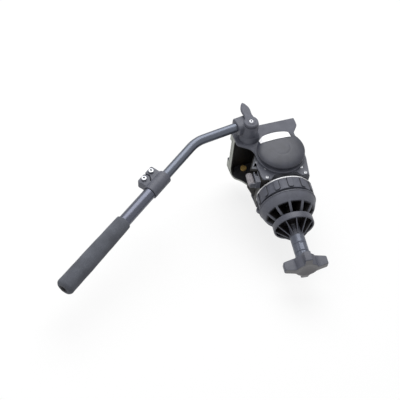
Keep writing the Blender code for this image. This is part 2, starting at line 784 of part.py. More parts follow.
saddle_pivot = bpy.data.objects.new("saddle_pivot", None)
parts.objects.link(saddle_pivot)
saddle_pivot.location = (0.0, 0.0, tilt_axis_height)
saddle_pivot.rotation_euler = (0.0, -math.radians(rest_tilt_deg), 0.0)
tilt_centre = (0.0, 0.0, tilt_axis_height)


def make_tilt_axis():
    rod("tilt_shaft", shaft_radius, -cheek_outer + seat_gap, cheek_outer - seat_gap, steel, round_steps,
        parent=saddle_pivot, turn=to_near)
    inner = shaft_radius + seat_gap
    far_edge = web_half_width - seat_gap
    near_edge = far_edge - tilt_bearing_width
    sleeve("near_tilt_bearing", inner, tilt_bearing_outer, near_edge, far_edge, steel, round_steps,
           place=tilt_centre, turn=to_near)
    sleeve("far_tilt_bearing", inner, tilt_bearing_outer, near_edge, far_edge, steel, round_steps,
           place=tilt_centre, turn=to_far)
    sleeve("tilt_drag_cartridge", inner, cartridge_radius, web_half_width + seat_gap,
           web_half_width + seat_gap + cartridge_width, painted, round_steps, place=tilt_centre, turn=to_near)


def make_counterbalance_spring():
    """A coil round the shaft on the far side. It prints the least gap between its turns."""
    steps_a_turn = 10
    count = spring_turns * steps_a_turn + 1
    start = web_half_width + seat_gap + spring_wire_radius
    points = []
    for i in range(count):
        angle = 2 * math.pi * i / steps_a_turn
        out = start + (spring_width - 2 * spring_wire_radius) * i / (count - 1)
        points.append((spring_radius * math.cos(angle), out, tilt_axis_height + spring_radius * math.sin(angle)))
    gap = min((Vector(points[i]) - Vector(points[i + steps_a_turn])).length for i in range(count - steps_a_turn))
    print("least gap between the spring's turns, mm:", round((gap - 2 * spring_wire_radius) * 1000, 2))
    pipe("counterbalance_spring", points, spring_wire_radius, steel, resolution=1)


make_tilt_axis()
make_counterbalance_spring()


# Saddle: a platform on two cheeks that run down to round hubs at the tilt axis

def cheek_outline(rear_points):
    return ([(saddle_front, saddle_top), (saddle_rear, saddle_top), *rear_points]
            + arc((0.0, 0.0), hub_radius, cheek_arc_from_deg, cheek_arc_to_deg, 19) + [cheek_front_tuck, cheek_front_low])


def make_saddle():
    thickness = cheek_outer - cheek_inner
    under = saddle_top - platform_thickness
    platform = plate("saddle", [(saddle_front, saddle_top), (saddle_rear, saddle_top), (saddle_rear, under),
                                (saddle_front - saddle_edge, under)], 2 * cheek_outer, painted,
                     parent=saddle_pivot, turn=to_near, edge=saddle_edge)
    for side, name, rear_points in ((-1, "near_cheek", near_cheek_rear), (1, "far_cheek", far_cheek_rear)):
        middle = side * (cheek_outer + cheek_inner) / 2
        join(platform, plate(name, cheek_outline(rear_points), thickness, painted, parent=saddle_pivot, place=(0.0, middle, 0.0),
                             turn=to_near, edge=saddle_edge))
    join(platform, make_rear_wall())
    reach = cheek_outer + cut_overrun
    place = (rosette_place[0], 0.0, rosette_place[1])
    shaft_hole = rod("cheek_shaft_hole", shaft_radius + seat_gap, -reach, reach, painted, round_steps,
                     parent=saddle_pivot, turn=to_near)
    bolt_hole = rod("cheek_bolt_hole", bolt_radius + seat_gap, -reach, reach, painted, small_steps,
                    parent=saddle_pivot, place=place, turn=to_near)
    cut(platform, shaft_hole, bolt_hole, make_channel(), make_cam_bore(), make_release_bore())
    return platform


def make_rear_wall():
    """The wall that hangs from the deck's rear, with round corners where it meets the cheeks."""
    side = (cheek_inner + cheek_outer) / 2
    corner = cheek_inner - rear_wall_corner
    low = rear_wall_low - rear_wall_corner
    top = saddle_top - (platform_thickness + channel_depth) / 2
    outline = ([(-side, top), (-side, low)] + arc((-corner, low), rear_wall_corner, 180, 90, small_steps)
               + arc((corner, low), rear_wall_corner, 90, 0, small_steps) + [(side, low), (side, top)])
    return plate("saddle_rear_wall", outline, rear_wall_thickness, painted, parent=saddle_pivot,
                 place=(saddle_rear + rear_wall_inset + rear_wall_thickness / 2, 0.0, 0.0), turn=to_front)


def make_channel():
    floor = saddle_top - channel_depth
    slope = dovetail_flare / channel_depth
    top = channel_half_width - slope * cut_overrun
    outline = [(-channel_half_width - dovetail_flare, floor), (channel_half_width + dovetail_flare, floor),
               (top, saddle_top + cut_overrun), (-top, saddle_top + cut_overrun)]
    length = saddle_front - saddle_rear + 2 * cut_overrun
    return plate("plate_channel", outline, length, painted, parent=saddle_pivot,
                 place=((saddle_front + saddle_rear) / 2, 0.0, 0.0), turn=to_front)


def make_cam_bore():
    place = (plate_lock_place, 0.0, saddle_top - plate_lock_depth)
    return rod("cam_bore", plate_lock_cam_radius + seat_gap, channel_half_width - cut_overrun,
               cheek_outer + cut_overrun, painted, small_steps, parent=saddle_pivot, place=place, turn=to_far)


def make_release_bore():
    place = (release_place, 0.0, saddle_top - plate_lock_depth)
    return rod("release_bore", release_radius + seat_gap, cheek_outer - release_depth, cheek_outer + cut_overrun,
               painted, small_steps, parent=saddle_pivot, place=place, turn=to_far)


def make_hub_cap():
    """A shallow dome whose rim stands out over a narrower stem."""
    inner = cap_stem_radius - cap_wall
    start = cheek_outer + seat_gap
    under_rim = cap_rim_out - cap_rim_thickness
    shoulder = [(cap_radius * math.sin(math.radians(a)), cap_rim_out + (cap_crown_out - cap_rim_out)
                 * math.cos(math.radians(a))) for a in (0, 24, 46, 66, 80, 90)]
    shoulder[-1] = (cap_radius, cap_rim_out)
    profile = shoulder + [(cap_radius, under_rim), (cap_stem_radius, under_rim), (cap_stem_radius, start),
                          (inner, start), (inner, cap_rim_out - cap_wall), (0.0, cap_rim_out - cap_wall)]
    turned("near_hub_cap", profile, plastic, ring_steps, parent=saddle_pivot, turn=to_near)


def cap_dome_out(across, up):
    """How far out the cap's dome stands at a place beside its axis."""
    share = 1.0 - (across ** 2 + up ** 2) / cap_radius ** 2
    return cap_rim_out + (cap_crown_out - cap_rim_out) * math.sqrt(share)


def label_top(across):
    """The label's upper edge: a shallow arch that gives way to the cap's rim at the rear end."""
    arch = label_crown[1] - label_arch_bow * (across - label_crown[0]) ** 2
    return min(arch, math.sqrt(label_reach ** 2 - across ** 2))


def make_side_label():
    """A thin label that follows the cap's dome above the axis, as two layers of a grid."""
    points, faces = [], []
    for layer in range(2):
        for i in range(label_columns + 1):
            across = label_rear + (label_front - label_rear) * i / label_columns
            for j in range(label_rows + 1):
                up = label_low + (label_top(across) - label_low) * j / label_rows
                points.append((across, up, cap_dome_out(across, up) + seat_gap + layer * label_thickness))
    row = label_rows + 1
    layer_size = row * (label_columns + 1)
    for i in range(label_columns):
        for j in range(label_rows):
            corners = [i * row + j, (i + 1) * row + j, (i + 1) * row + j + 1, i * row + j + 1]
            faces += [corners, [corner + layer_size for corner in corners]]
    rim = ([i * row for i in range(label_columns + 1)] + [label_columns * row + j for j in range(1, row)]
           + [i * row + label_rows for i in range(label_columns - 1, -1, -1)] + list(range(label_rows - 1, 0, -1)))
    for here, after in zip(rim, rim[1:] + rim[:1]):
        faces.append([here, after, after + layer_size, here + layer_size])
    shape = bmesh.new()
    corners = [shape.verts.new(point) for point in points]
    for face in faces:
        shape.faces.new([corners[index] for index in face])
    bmesh.ops.recalc_face_normals(shape, faces=shape.faces)
    mesh = bpy.data.meshes.new("side_label")
    shape.to_mesh(mesh)
    shape.free()
    add_piece("side_label", mesh, label_white, saddle_pivot, turn=to_near)


def make_rosette(name, turn, toothed):
    start = cheek_outer + seat_gap
    top = start + rosette_height
    teeth = rosette_teeth if toothed else round_steps // 2
    shape = bmesh.new()
    ring = bmesh.ops.create_cone(shape, cap_ends=True, segments=2 * teeth, radius1=rosette_base_radius,
                                 radius2=rosette_tip_radius, depth=rosette_height)["verts"]
    bmesh.ops.translate(shape, verts=ring, vec=(0.0, 0.0, (start + top) / 2))
    if toothed:
        cap = [face for face in shape.faces if face.normal.z > 0.9]
        bmesh.ops.poke(shape, faces=cap)
        rim = [v for v in shape.verts if v.co.z > top - seat_gap and v.co.xy.length > rosette_tip_radius / 2]
        rim.sort(key=lambda v: math.atan2(v.co.y, v.co.x))
        for low in rim[::2]:
            low.co.z -= rosette_tooth
    mesh = bpy.data.meshes.new(name)
    shape.to_mesh(mesh)
    shape.free()
    rosette = add_piece(name, mesh, painted, saddle_pivot, (rosette_place[0], 0.0, rosette_place[1]), turn)
    cut(rosette, rod(name + "_bore", bolt_radius + seat_gap, start - cut_overrun, top + cut_overrun, painted,
                     small_steps, parent=saddle_pivot, place=(rosette_place[0], 0.0, rosette_place[1]), turn=turn))


def make_far_insert():
    place = (rosette_place[0], 0.0, rosette_place[1])
    inner = cheek_inner - seat_gap
    turned("rosette_insert", [(0.0, cheek_outer), (bolt_radius, cheek_outer), (bolt_radius, inner),
                              (bolt_head_radius, inner), (bolt_head_radius, inner - bolt_head_height),
                              (0.0, inner - bolt_head_height)], brass, small_steps,
           parent=saddle_pivot, place=place, turn=to_far)


def make_drag_dial():
    start = cheek_outer + seat_gap
    dial = turned("tilt_drag_dial", [(0.0, start + drag_dial_width), (drag_dial_radius - cap_wall,
                  start + drag_dial_width), (drag_dial_radius, start + drag_dial_width - cap_wall),
                  (drag_dial_radius, start), (drag_dial_radius - 2 * cap_wall, start), (drag_dial_radius
                  - 2 * cap_wall, start + cap_wall), (0.0, start + cap_wall)], plastic, ring_steps,
                  parent=saddle_pivot, turn=to_far)
    for i in range(drag_dial_scallops):
        across, up = along(i * 360.0 / drag_dial_scallops, drag_dial_radius + drag_dial_scallop_radius / 2)
        cut(dial, rod("dial_scallop_%d" % i, drag_dial_scallop_radius, start + cap_wall, start + drag_dial_width
                      + cut_overrun, plastic, small_steps, parent=saddle_pivot, place=(across, 0.0, up), turn=to_far))


make_saddle()
make_hub_cap()
make_side_label()
make_rosette("near_rosette", to_near, False)
make_rosette("far_rosette", to_far, True)
make_far_insert()
make_drag_dial()


# Camera plate, its screw and pin, and the lock and release on the far side of the platform

def make_camera_plate():
    bottom = saddle_top - channel_depth + seat_gap
    inner_depth = channel_depth - seat_gap
    slope = dovetail_flare / channel_depth
    low_half = channel_half_width + dovetail_flare - 2 * seat_gap
    top_half = channel_half_width - 2 * seat_gap
    rise = plate_thickness - inner_depth
    outline = [(-low_half, bottom), (low_half, bottom), (top_half, bottom + inner_depth), (top_half,
               bottom + inner_depth + rise), (-top_half, bottom + inner_depth + rise), (-top_half,
               bottom + inner_depth)]
    top = bottom + plate_thickness
    camera_plate = plate("camera_plate", outline, plate_length, painted, parent=saddle_pivot,
                         place=(plate_centre, 0.0, 0.0), turn=to_front)
    slot = plate("plate_slot", slot_outline(camera_screw_radius + seat_gap), 2 * plate_thickness, painted,
                 parent=saddle_pivot, place=(plate_centre, 0.0, top))
    head_room = camera_screw_head_height + seat_gap
    recess = plate("plate_slot_recess", slot_outline(camera_screw_head_radius + seat_gap), 2 * head_room, painted,
                   parent=saddle_pivot, place=(plate_centre, 0.0, bottom))
    cut(camera_plate, slot, recess)
    cut(camera_plate, rod("pin_socket", pin_radius + seat_gap, top - plate_thickness / 2, top + cut_overrun, painted,
                          small_steps, parent=saddle_pivot, place=(plate_centre + pin_place, 0.0, 0.0)))
    pad_outline = rounded_box_outline((-plate_length / 2 + pad_margin, -top_half + pad_margin),
                                      (plate_length / 2 - pad_margin, top_half - pad_margin), pad_margin)
    pin_hole = arc((pin_place, 0.0), pin_radius + seat_gap, 0.0, 330.0, 12)
    plate("plate_pad", pad_outline, pad_thickness, rubber, parent=saddle_pivot,
          place=(plate_centre, 0.0, top + seat_gap + pad_thickness / 2),
          holes=(slot_outline(camera_screw_radius + 2 * seat_gap), pin_hole))
    face = top + seat_gap + pad_thickness
    turned("camera_screw", [(0.0, face + camera_screw_rise), (camera_screw_radius, face + camera_screw_rise),
                            (camera_screw_radius, bottom + camera_screw_head_height),
                            (camera_screw_head_radius, bottom + camera_screw_head_height),
                            (camera_screw_head_radius, bottom + seat_gap), (0.0, bottom + seat_gap)], steel,
           round_steps, parent=saddle_pivot, place=(plate_centre, 0.0, 0.0))
    rod("locating_pin", pin_radius, top - plate_thickness / 2 + seat_gap, face + pin_rise, steel, small_steps,
        parent=saddle_pivot, place=(plate_centre + pin_place, 0.0, 0.0))


def slot_outline(radius):
    half = plate_slot_length / 2
    return arc((half, 0.0), radius, -90, 90, 9) + arc((-half, 0.0), radius, 90, 270, 9)


def make_plate_lock():
    place = (plate_lock_place, 0.0, saddle_top - plate_lock_depth)
    start = cheek_outer + seat_gap
    half = plate_lock_hub_radius / 2
    outline = [along(180.0, plate_lock_reach, -half), along(180.0, plate_lock_reach, half)]
    outline += arc((0.0, 0.0), plate_lock_hub_radius, plate_lock_hub_from_deg, plate_lock_hub_to_deg, 10)
    lever = plate("plate_lock_lever", outline, plate_lock_thickness, plastic, parent=saddle_pivot,
                  place=(place[0], start + plate_lock_thickness / 2, place[2]), turn=to_near, edge=saddle_edge)
    cam = rod("plate_lock_cam", plate_lock_cam_radius, channel_half_width + dovetail_flare + 2 * seat_gap,
              start + saddle_edge, plastic, small_steps, parent=saddle_pivot, place=place, turn=to_far)
    join(lever, cam)
    place = (release_place, 0.0, saddle_top - plate_lock_depth)
    rod("plate_release_button", release_radius, cheek_outer - release_depth + release_proud,
        cheek_outer + release_proud, plastic, small_steps, parent=saddle_pivot, place=place, turn=to_far)


make_camera_plate()
make_plate_lock()


# Pan bar: clamp block and bent bar, worked out in the plane of the bar with the rosette axis as origin

tilt_turn = Matrix.Rotation(-math.radians(rest_tilt_deg), 3, "Y")
rosette_centre = Vector(tilt_centre) + tilt_turn @ Vector((rosette_place[0], 0.0, rosette_place[1]))
handle_pivot = bpy.data.objects.new("handle_pivot", None)
parts.objects.link(handle_pivot)
handle_pivot.location = rosette_centre

upper_heading = 180.0 + bar_slope_deg
lower_heading = 180.0 + bar_drop_deg
bar_vertex_point = along(upper_heading, bar_vertex, -bar_offset)


def upper_point(distance, aside=0.0):
    """A point along the upper bar, with a step up from it, in the plane of the bar."""
    return along(upper_heading, distance, -bar_offset - aside)


def lower_point(distance, aside=0.0):
    """A point along the lower tube from the bend, with a step up and back from it."""
    across, up = along(lower_heading, distance, -aside)
    return (bar_vertex_point[0] + across, bar_vertex_point[1] + up)


def in_bar_plane(point):
    return (point[0], bar_plane, point[1])


def along_bar(heading):
    """The turn that lays a turned piece's axis along a heading in the plane of the bar."""
    return (0.0, math.radians(90.0 - heading), 0.0)


def make_clamp_block():
    start = -(cheek_outer + 2 * seat_gap + rosette_height)
    body = turned("bar_clamp_block", [(0.0, -block_near), (block_radius - saddle_edge, -block_near),
                                      (block_radius, -block_near - saddle_edge), (block_radius, -start),
                                      (0.0, -start)], painted, round_steps, parent=handle_pivot, turn=to_near)
    mouth_length = block_end - block_start
    outline = rounded_box_outline((-block_mouth_half_height, -block_mouth_half_width),
                                  (block_mouth_half_height, block_mouth_half_width), block_mouth_round, 4)
    mouth = plate("block_mouth", outline, mouth_length, painted, parent=handle_pivot,
                  place=in_bar_plane(upper_point((block_start + block_end) / 2)), turn=along_bar(upper_heading),
                  edge=saddle_edge)
    join(body, mouth)
    bore = rod("bar_bore", bar_radius + seat_gap, bar_start - seat_gap, block_end + cut_overrun, painted,
               round_steps, parent=handle_pivot, place=in_bar_plane(upper_point(0.0)), turn=along_bar(upper_heading))
    bolt_bore = rod("block_bolt_bore", bolt_radius + seat_gap, -start - cut_overrun, -block_near + cut_overrun,
                    painted, small_steps, parent=handle_pivot, turn=to_near)
    cut(body, bore, bolt_bore)
    head = cheek_inner - seat_gap
    lever_face = -block_near + seat_gap + lever_thickness
    turned("clamp_bolt", [(0.0, lever_face - lever_screw_height - seat_gap), (bolt_radius, lever_face
           - lever_screw_height - seat_gap), (bolt_radius, head), (bolt_head_radius, head), (bolt_head_radius,
           head - bolt_head_height), (0.0, head - bolt_head_height)], steel, small_steps, parent=handle_pivot,
           turn=to_near)


def make_clamp_lever():
    upright_heading = 90.0 + lever_lean_deg
    hub = arc((0.0, 0.0), lever_hub_radius, upright_heading + lever_hub_from_deg,
              upright_heading + lever_hub_to_deg, 15)
    wide = lever_reach * lever_wide_share
    waist = lever_reach * lever_waist_share
    outline = hub + [along(upright_heading, waist, -lever_waist), along(upright_heading, wide,
                     -lever_wide), along(upright_heading, lever_reach - lever_tip, -lever_tip),
                     along(upright_heading, lever_reach), along(upright_heading, lever_reach - lever_tip, lever_tip),
                     along(upright_heading, wide, lever_wide), along(upright_heading, waist, lever_waist)]
    middle = block_near - seat_gap - lever_thickness / 2
    lever = plate("clamp_lever", outline, lever_thickness, plastic, parent=handle_pivot, place=(0.0, middle, 0.0),
                  turn=to_near, edge=saddle_edge)
    bottom = -block_near - cut_overrun
    face = -block_near + seat_gap + lever_thickness
    cut(lever, rod("lever_bolt_bore", bolt_radius + seat_gap, bottom, face + cut_overrun, plastic, small_steps,
                   parent=handle_pivot, turn=to_near))
    cut(lever, rod("lever_screw_seat", lever_screw_radius + seat_gap, face - lever_screw_height, face + cut_overrun,
                   plastic, small_steps, parent=handle_pivot, turn=to_near))
    turned("lever_screw", [(0.0, face), (lever_screw_radius / 2, face), (lever_screw_radius / 2, face + seat_gap),
                           (lever_screw_radius, face + seat_gap), (lever_screw_radius, face - lever_screw_height
                           + seat_gap), (0.0, face - lever_screw_height + seat_gap)], steel, small_steps,
           parent=handle_pivot, turn=to_near)


def make_pan_bar():
    turn = math.radians(bar_drop_deg - bar_slope_deg)
    setback = bar_bend_radius * math.tan(turn / 2)
    first = Vector(upper_point(bar_vertex - setback))
    side = Vector(along(upper_heading, 0.0, 1.0))
    centre = first + side * bar_bend_radius
    points = [in_bar_plane(upper_point(bar_start)), in_bar_plane(first)]
    bend_steps = 7
    for i in range(1, bend_steps):
        angle = turn * i / bend_steps
        spoke = Matrix.Rotation(angle, 2) @ (-side * bar_bend_radius)
        points.append(in_bar_plane(centre + spoke))
    points.append(in_bar_plane(lower_point(setback)))
    points.append(in_bar_plane(lower_point(bar_end)))
    pipe("pan_bar", points, bar_radius, anodised, parent=handle_pivot)


make_clamp_block()
make_clamp_lever()
make_pan_bar()


# Collar, outer tube and grip: they slide together along the bar's lower end

def make_collar():
    lie = along_bar(lower_heading)
    start = in_bar_plane(lower_point(collar_start))
    collar = turned("bar_collar", [(0.0, collar_length), (collar_radius - saddle_edge, collar_length),
                                   (collar_radius, collar_length - saddle_edge), (collar_radius, saddle_edge),
                                   (collar_radius - saddle_edge, 0.0), (0.0, 0.0)], painted, round_steps,
                    parent=handle_pivot, place=start, turn=lie)
    low = (collar_start + saddle_edge, 0.0)
    high = (collar_start + collar_length - 2 * saddle_edge, lug_reach)
    across = (high[0] - low[0]) / 2
    corner = lug_half_thickness / 2
    outline = []
    for distance, aside in ((low[0], low[1]), (high[0], low[1]), (high[0], high[1] - corner),
                            (high[0] - corner, high[1]), (low[0] + across + corner, high[1]),
                            (low[0] + across, high[1] - corner), (low[0] + across - corner, high[1]),
                            (low[0] + corner, high[1]), (low[0], high[1] - corner)):
        outline.append(lower_point(distance, aside))
    lugs = plate("collar_lugs", outline, 2 * lug_half_thickness, painted, parent=handle_pivot,
                 place=(0.0, bar_plane, 0.0), turn=to_near, edge=saddle_edge)
    join(collar, lugs)
    bar_hole = rod("collar_bar_hole", bar_radius + seat_gap, -cut_overrun, collar_length + cut_overrun, painted,
                   round_steps, parent=handle_pivot, place=start, turn=lie)
    tube_seat = rod("collar_tube_seat", tube_radius + seat_gap, collar_grip, collar_length + cut_overrun, painted,
                    round_steps, parent=handle_pivot, place=start, turn=lie)
    middle = low[0] + across
    bend = across / 3
    slit_line = [(middle, lug_reach + cut_overrun), (middle - bend / 3, (lug_reach + lug_half_thickness) / 2),
                 (middle + bend / 2, collar_radius), (middle + bend, lug_inner_reach)]
    outline = [lower_point(distance - lug_slit / 2, aside) for distance, aside in slit_line]
    outline += [lower_point(distance + lug_slit / 2, aside) for distance, aside in reversed(slit_line)]
    slit = plate("collar_slit", outline, 2 * (collar_radius + cut_overrun), painted, parent=handle_pivot,
                 place=(0.0, bar_plane, 0.0), turn=to_near)
    ear_outline = []
    for distance, aside in ((low[0] - cut_overrun, lug_inner_reach), (high[0] + cut_overrun, lug_inner_reach),
                            (high[0] + cut_overrun, lug_reach + cut_overrun),
                            (low[0] - cut_overrun, lug_reach + cut_overrun)):
        ear_outline.append(lower_point(distance, aside))
    ears = plate("collar_ear_slit", ear_outline, lug_slit, painted, parent=handle_pivot,
                 place=(0.0, bar_plane, 0.0), turn=to_near)
    cut(collar, bar_hole, tube_seat, slit, ears)
    face = -bar_plane + lug_half_thickness
    for i, shift in enumerate((-collar_screw_pitch / 2, collar_screw_pitch / 2)):
        spot = lower_point(middle + shift, collar_screw_offset)
        place = (spot[0], 0.0, spot[1])
        hole = rod("collar_screw_hole_%d" % i, collar_screw_shank + seat_gap, face - 2 * lug_half_thickness
                   - cut_overrun, face + cut_overrun, painted, small_steps, parent=handle_pivot, place=place,
                   turn=to_near)
        cut(collar, hole)
        socket = collar_screw_radius / 2
        turned("collar_screw_%d" % (i + 1), [
            (0.0, face + collar_screw_head / 2), (socket, face + collar_screw_head / 2),
            (socket, face + collar_screw_head), (collar_screw_radius, face + collar_screw_head),
            (collar_screw_radius, face + seat_gap), (collar_screw_shank, face + seat_gap),
            (collar_screw_shank, face - 2 * lug_half_thickness), (0.0, face - 2 * lug_half_thickness)], steel,
            small_steps, parent=handle_pivot, place=place, turn=to_near)


def make_tube_and_grip():
    lie = along_bar(lower_heading)
    origin = in_bar_plane(lower_point(0.0))
    sleeve("outer_tube", bar_radius + seat_gap, tube_radius, collar_start + collar_grip + seat_gap, tube_end,
           anodised, round_steps, parent=handle_pivot, place=origin, turn=lie)
    bore = tube_radius + seat_gap
    turned("foam_grip", [(bore, grip_end), (grip_end_radius - grip_round, grip_end),
                         (grip_end_radius - grip_round / 4, grip_end - grip_round / 3),
                         (grip_end_radius, grip_end - grip_round), (grip_start_radius + saddle_edge / 2,
                         grip_start + 2 * grip_round), (grip_start_radius, grip_start + saddle_edge),
                         (grip_start_radius - saddle_edge, grip_start), (bore, grip_start)], foam, round_steps,
           parent=handle_pivot, place=origin, turn=lie)
    turned("grip_end_cap", [(0.0, grip_end + end_cap_proud), (tube_radius / 3, grip_end + end_cap_proud),
                            (tube_radius / 2, grip_end), (tube_radius, grip_end - end_cap_proud / 2),
                            (tube_radius, tube_end + seat_gap), (0.0, tube_end + seat_gap)], rubber, round_steps,
           parent=handle_pivot, place=origin, turn=lie)


make_collar()
make_tube_and_grip()


# Tie-down under the bowl: a finned dish, the sleeve and the knob with its steel nut

def make_clamp_dish():
    rim_bottom = dish_top_depth + dish_rim_height
    inner = dish_rim_radius - dish_wall
    floor = dish_top_depth + dish_wall
    bore = stud_radius + seat_gap
    profile = [(bore, -floor - dish_floor_thickness), (sleeve_radius, -floor - dish_floor_thickness),
               (inner - dish_wall, -floor), (inner, -dish_top_depth), (dish_rim_radius - saddle_edge, -dish_top_depth),
               (dish_rim_radius, -dish_top_depth - saddle_edge), (dish_rim_radius - saddle_edge, -rim_bottom),
               (inner, -rim_bottom), (inner, -floor - dish_floor_thickness),
               (sleeve_radius, -floor - 2 * dish_floor_thickness), (sleeve_radius, -dish_hub_bottom_depth),
               (bore, -dish_hub_bottom_depth)]
    dish = turned("clamp_dish", profile, plastic, fin_count * 3)
    outline = [(sleeve_radius - saddle_edge, -floor - 2 * dish_floor_thickness + saddle_edge),
               (inner + saddle_edge, -floor - dish_floor_thickness + saddle_edge),
               (inner + saddle_edge, -rim_bottom), (sleeve_radius + saddle_edge, -dish_hub_bottom_depth),
               (sleeve_radius - saddle_edge, -dish_hub_bottom_depth)]
    for i in range(fin_count):
        heading = math.radians(fin_start_deg + i * 360.0 / fin_count)
        fin = plate("dish_fin_%d" % i, outline, fin_thickness, plastic, turn=(math.pi / 2, 0.0, heading))
        join(dish, fin)
    return dish


def make_knob_sleeve():
    top = dish_hub_bottom_depth + seat_gap
    profile = [(stud_radius + seat_gap, -top), (sleeve_radius, -top)]
    for share in groove_shares:
        depth = top + share * (sleeve_bottom_depth - top)
        profile += [(sleeve_radius, -depth + groove_width / 2), (sleeve_radius - groove_cut, -depth),
                    (sleeve_radius, -depth - groove_width / 2)]
    profile += [(sleeve_radius, -sleeve_bottom_depth), (stud_radius + seat_gap, -sleeve_bottom_depth)]
    return turned("knob_sleeve", profile, anodised, round_steps)


def knob_outline():
    half = knob_wing_width / 2
    tip = half * knob_tip_share
    points = []
    reaches = (knob_reach, knob_side_reach, knob_reach, knob_side_reach)
    for i, reach in enumerate(reaches):
        heading = 90.0 * i
        points.append(along(heading, reach - tip, -half))
        points.append(along(heading, reach, -half + tip))
        points.append(along(heading, reach, half - tip))
        points.append(along(heading, reach - tip, half))
        corner = along(heading, half + knob_fillet, half + knob_fillet)
        for across, up in arc(corner, knob_fillet, heading - 90.0, heading - 180.0, 9):
            grow = max(1.0, knob_hub_radius / math.hypot(across, up))
            points.append((across * grow, up * grow))
    return points


def make_tie_down_knob():
    """Four wings that taper in height away from a round hub, with a dimple in the hub's underside."""
    top = sleeve_bottom_depth + seat_gap
    bottom = top + knob_height
    knob = plate("tie_down_knob", knob_outline(), knob_height, plastic, place=(0.0, 0.0, -top - knob_height / 2),
                 turn=(0.0, 0.0, math.radians(knob_turn_deg)), edge=knob_edge)
    fall = knob_wing_fall / (knob_reach - knob_flat_radius)
    outer = knob_reach + cut_overrun
    apex = -top + fall * knob_flat_radius
    slope = turned("knob_slope", [(0.0, apex + cut_overrun), (outer, apex + cut_overrun),
                                  (outer, apex - fall * outer), (0.0, apex)], plastic, ring_steps)
    rise = knob_wing_rise / (knob_reach - knob_hub_radius)
    nadir = -bottom - rise * knob_hub_radius
    chamfer = turned("knob_chamfer", [(0.0, nadir), (outer, nadir + rise * outer), (outer, nadir - cut_overrun),
                                      (0.0, nadir - cut_overrun)], plastic, ring_steps)
    ball = (knob_dimple_radius ** 2 + knob_dimple_depth ** 2) / (2 * knob_dimple_depth)
    hollow = [(0.0, -bottom + knob_dimple_depth)]
    for i in range(1, 6):
        across = knob_dimple_radius * i / 4
        height = -bottom + knob_dimple_depth - ball + math.sqrt(ball ** 2 - across ** 2)
        hollow.append((across, height))
    hollow.append((0.0, height))
    dimple = turned("knob_dimple", hollow, plastic, round_steps)
    nut_bottom = top + nut_height
    cut(knob, slope, chamfer, dimple)
    cut(knob, rod("nut_seat", nut_radius + seat_gap, -nut_bottom - seat_gap, -top + cut_overrun, plastic, nut_sides))
    for change in knob.modifiers:
        change.solver = "MANIFOLD"
    nut = rod("tie_down_nut", nut_radius, -nut_bottom, -top - seat_gap, steel, nut_sides)
    cut(nut, rod("nut_bore", stud_radius + seat_gap, -nut_bottom - cut_overrun, -top + cut_overrun, steel, small_steps))


make_clamp_dish()
make_knob_sleeve()
make_tie_down_knob()
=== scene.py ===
import math

import bpy
import numpy as np
from mathutils import Matrix, Vector


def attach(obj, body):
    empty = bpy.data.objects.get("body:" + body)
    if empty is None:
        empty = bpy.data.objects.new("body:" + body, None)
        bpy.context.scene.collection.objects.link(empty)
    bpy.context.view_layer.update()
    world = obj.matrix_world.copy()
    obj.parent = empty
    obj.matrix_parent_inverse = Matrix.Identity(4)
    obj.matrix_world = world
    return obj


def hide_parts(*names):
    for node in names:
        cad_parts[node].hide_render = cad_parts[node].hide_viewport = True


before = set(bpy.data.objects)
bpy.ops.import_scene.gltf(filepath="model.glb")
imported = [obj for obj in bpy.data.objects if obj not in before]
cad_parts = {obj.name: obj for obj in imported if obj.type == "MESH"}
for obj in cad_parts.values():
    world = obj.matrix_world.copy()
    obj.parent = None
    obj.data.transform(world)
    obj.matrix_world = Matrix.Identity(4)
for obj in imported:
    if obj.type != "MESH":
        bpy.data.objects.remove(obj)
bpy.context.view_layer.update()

print("frame loaded:", len(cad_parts), "nodes")

# Lengths in this file are millimetres until a mesh is written; angles are degrees.
mm = 0.001
restTilt = 6.8  # how far the saddle's nose is up in the photograph
tiltHeight = 70.0  # the tilt axis above the half ball's centre
fitGap = 0.3  # left between fitted pieces
cheekHalf = 50.0  # from the middle to the saddle's outer faces
fittingFace = cheekHalf + fitGap  # where caps, rosettes and dials sit
studBore = 5.3  # clears the tie-down stud
pole = 0.01  # profiles stop this far from their axis, which leaves a tiny flat cap


# ---- drawing frames: an origin and three directions, across, up and out of the drawing

def drawingFrame(origin, across, up):
    across = np.array(across, float) / np.linalg.norm(across)
    up = np.array(up, float) / np.linalg.norm(up)
    return np.array(origin, float), np.column_stack([across, up, np.cross(across, up)])


def direction(angle):
    return np.array([math.cos(math.radians(angle)), math.sin(math.radians(angle))])


tiltCos, tiltSin = direction(restTilt)
centre, tiltAxis = (0, 0, 0), (0, 0, tiltHeight)
ahead, nearToFar, upwards = (1.0, 0.0, 0.0), (0.0, 1.0, 0.0), (0.0, 0.0, 1.0)
deckAhead, deckUp = (tiltCos, 0.0, tiltSin), (-tiltSin, 0.0, tiltCos)
panFrame = drawingFrame(centre, ahead, nearToFar)
sideFrame = drawingFrame(centre, ahead, upwards)
saddleFrame = drawingFrame(tiltAxis, deckAhead, deckUp)
deckFrame = drawingFrame(tiltAxis, nearToFar, deckUp)
deckTopFrame = drawingFrame(tiltAxis, deckAhead, nearToFar)
rosette = dict(place=(-40.5, 49.0), baseRadius=18.6, tipRadius=14.5, bore=3.3, flange=1.3, height=9.6, teeth=24,
               tooth=1.2)
rosetteCentre = saddleFrame[0] + saddleFrame[1] @ np.array([*rosette["place"], 0.0])
handleFrame = drawingFrame(rosetteCentre, ahead, upwards)


def shifted(drawing, place, out=0.0):
    origin, turn = drawing
    return origin + turn @ np.array([place[0], place[1], out]), turn


# ---- shape functions

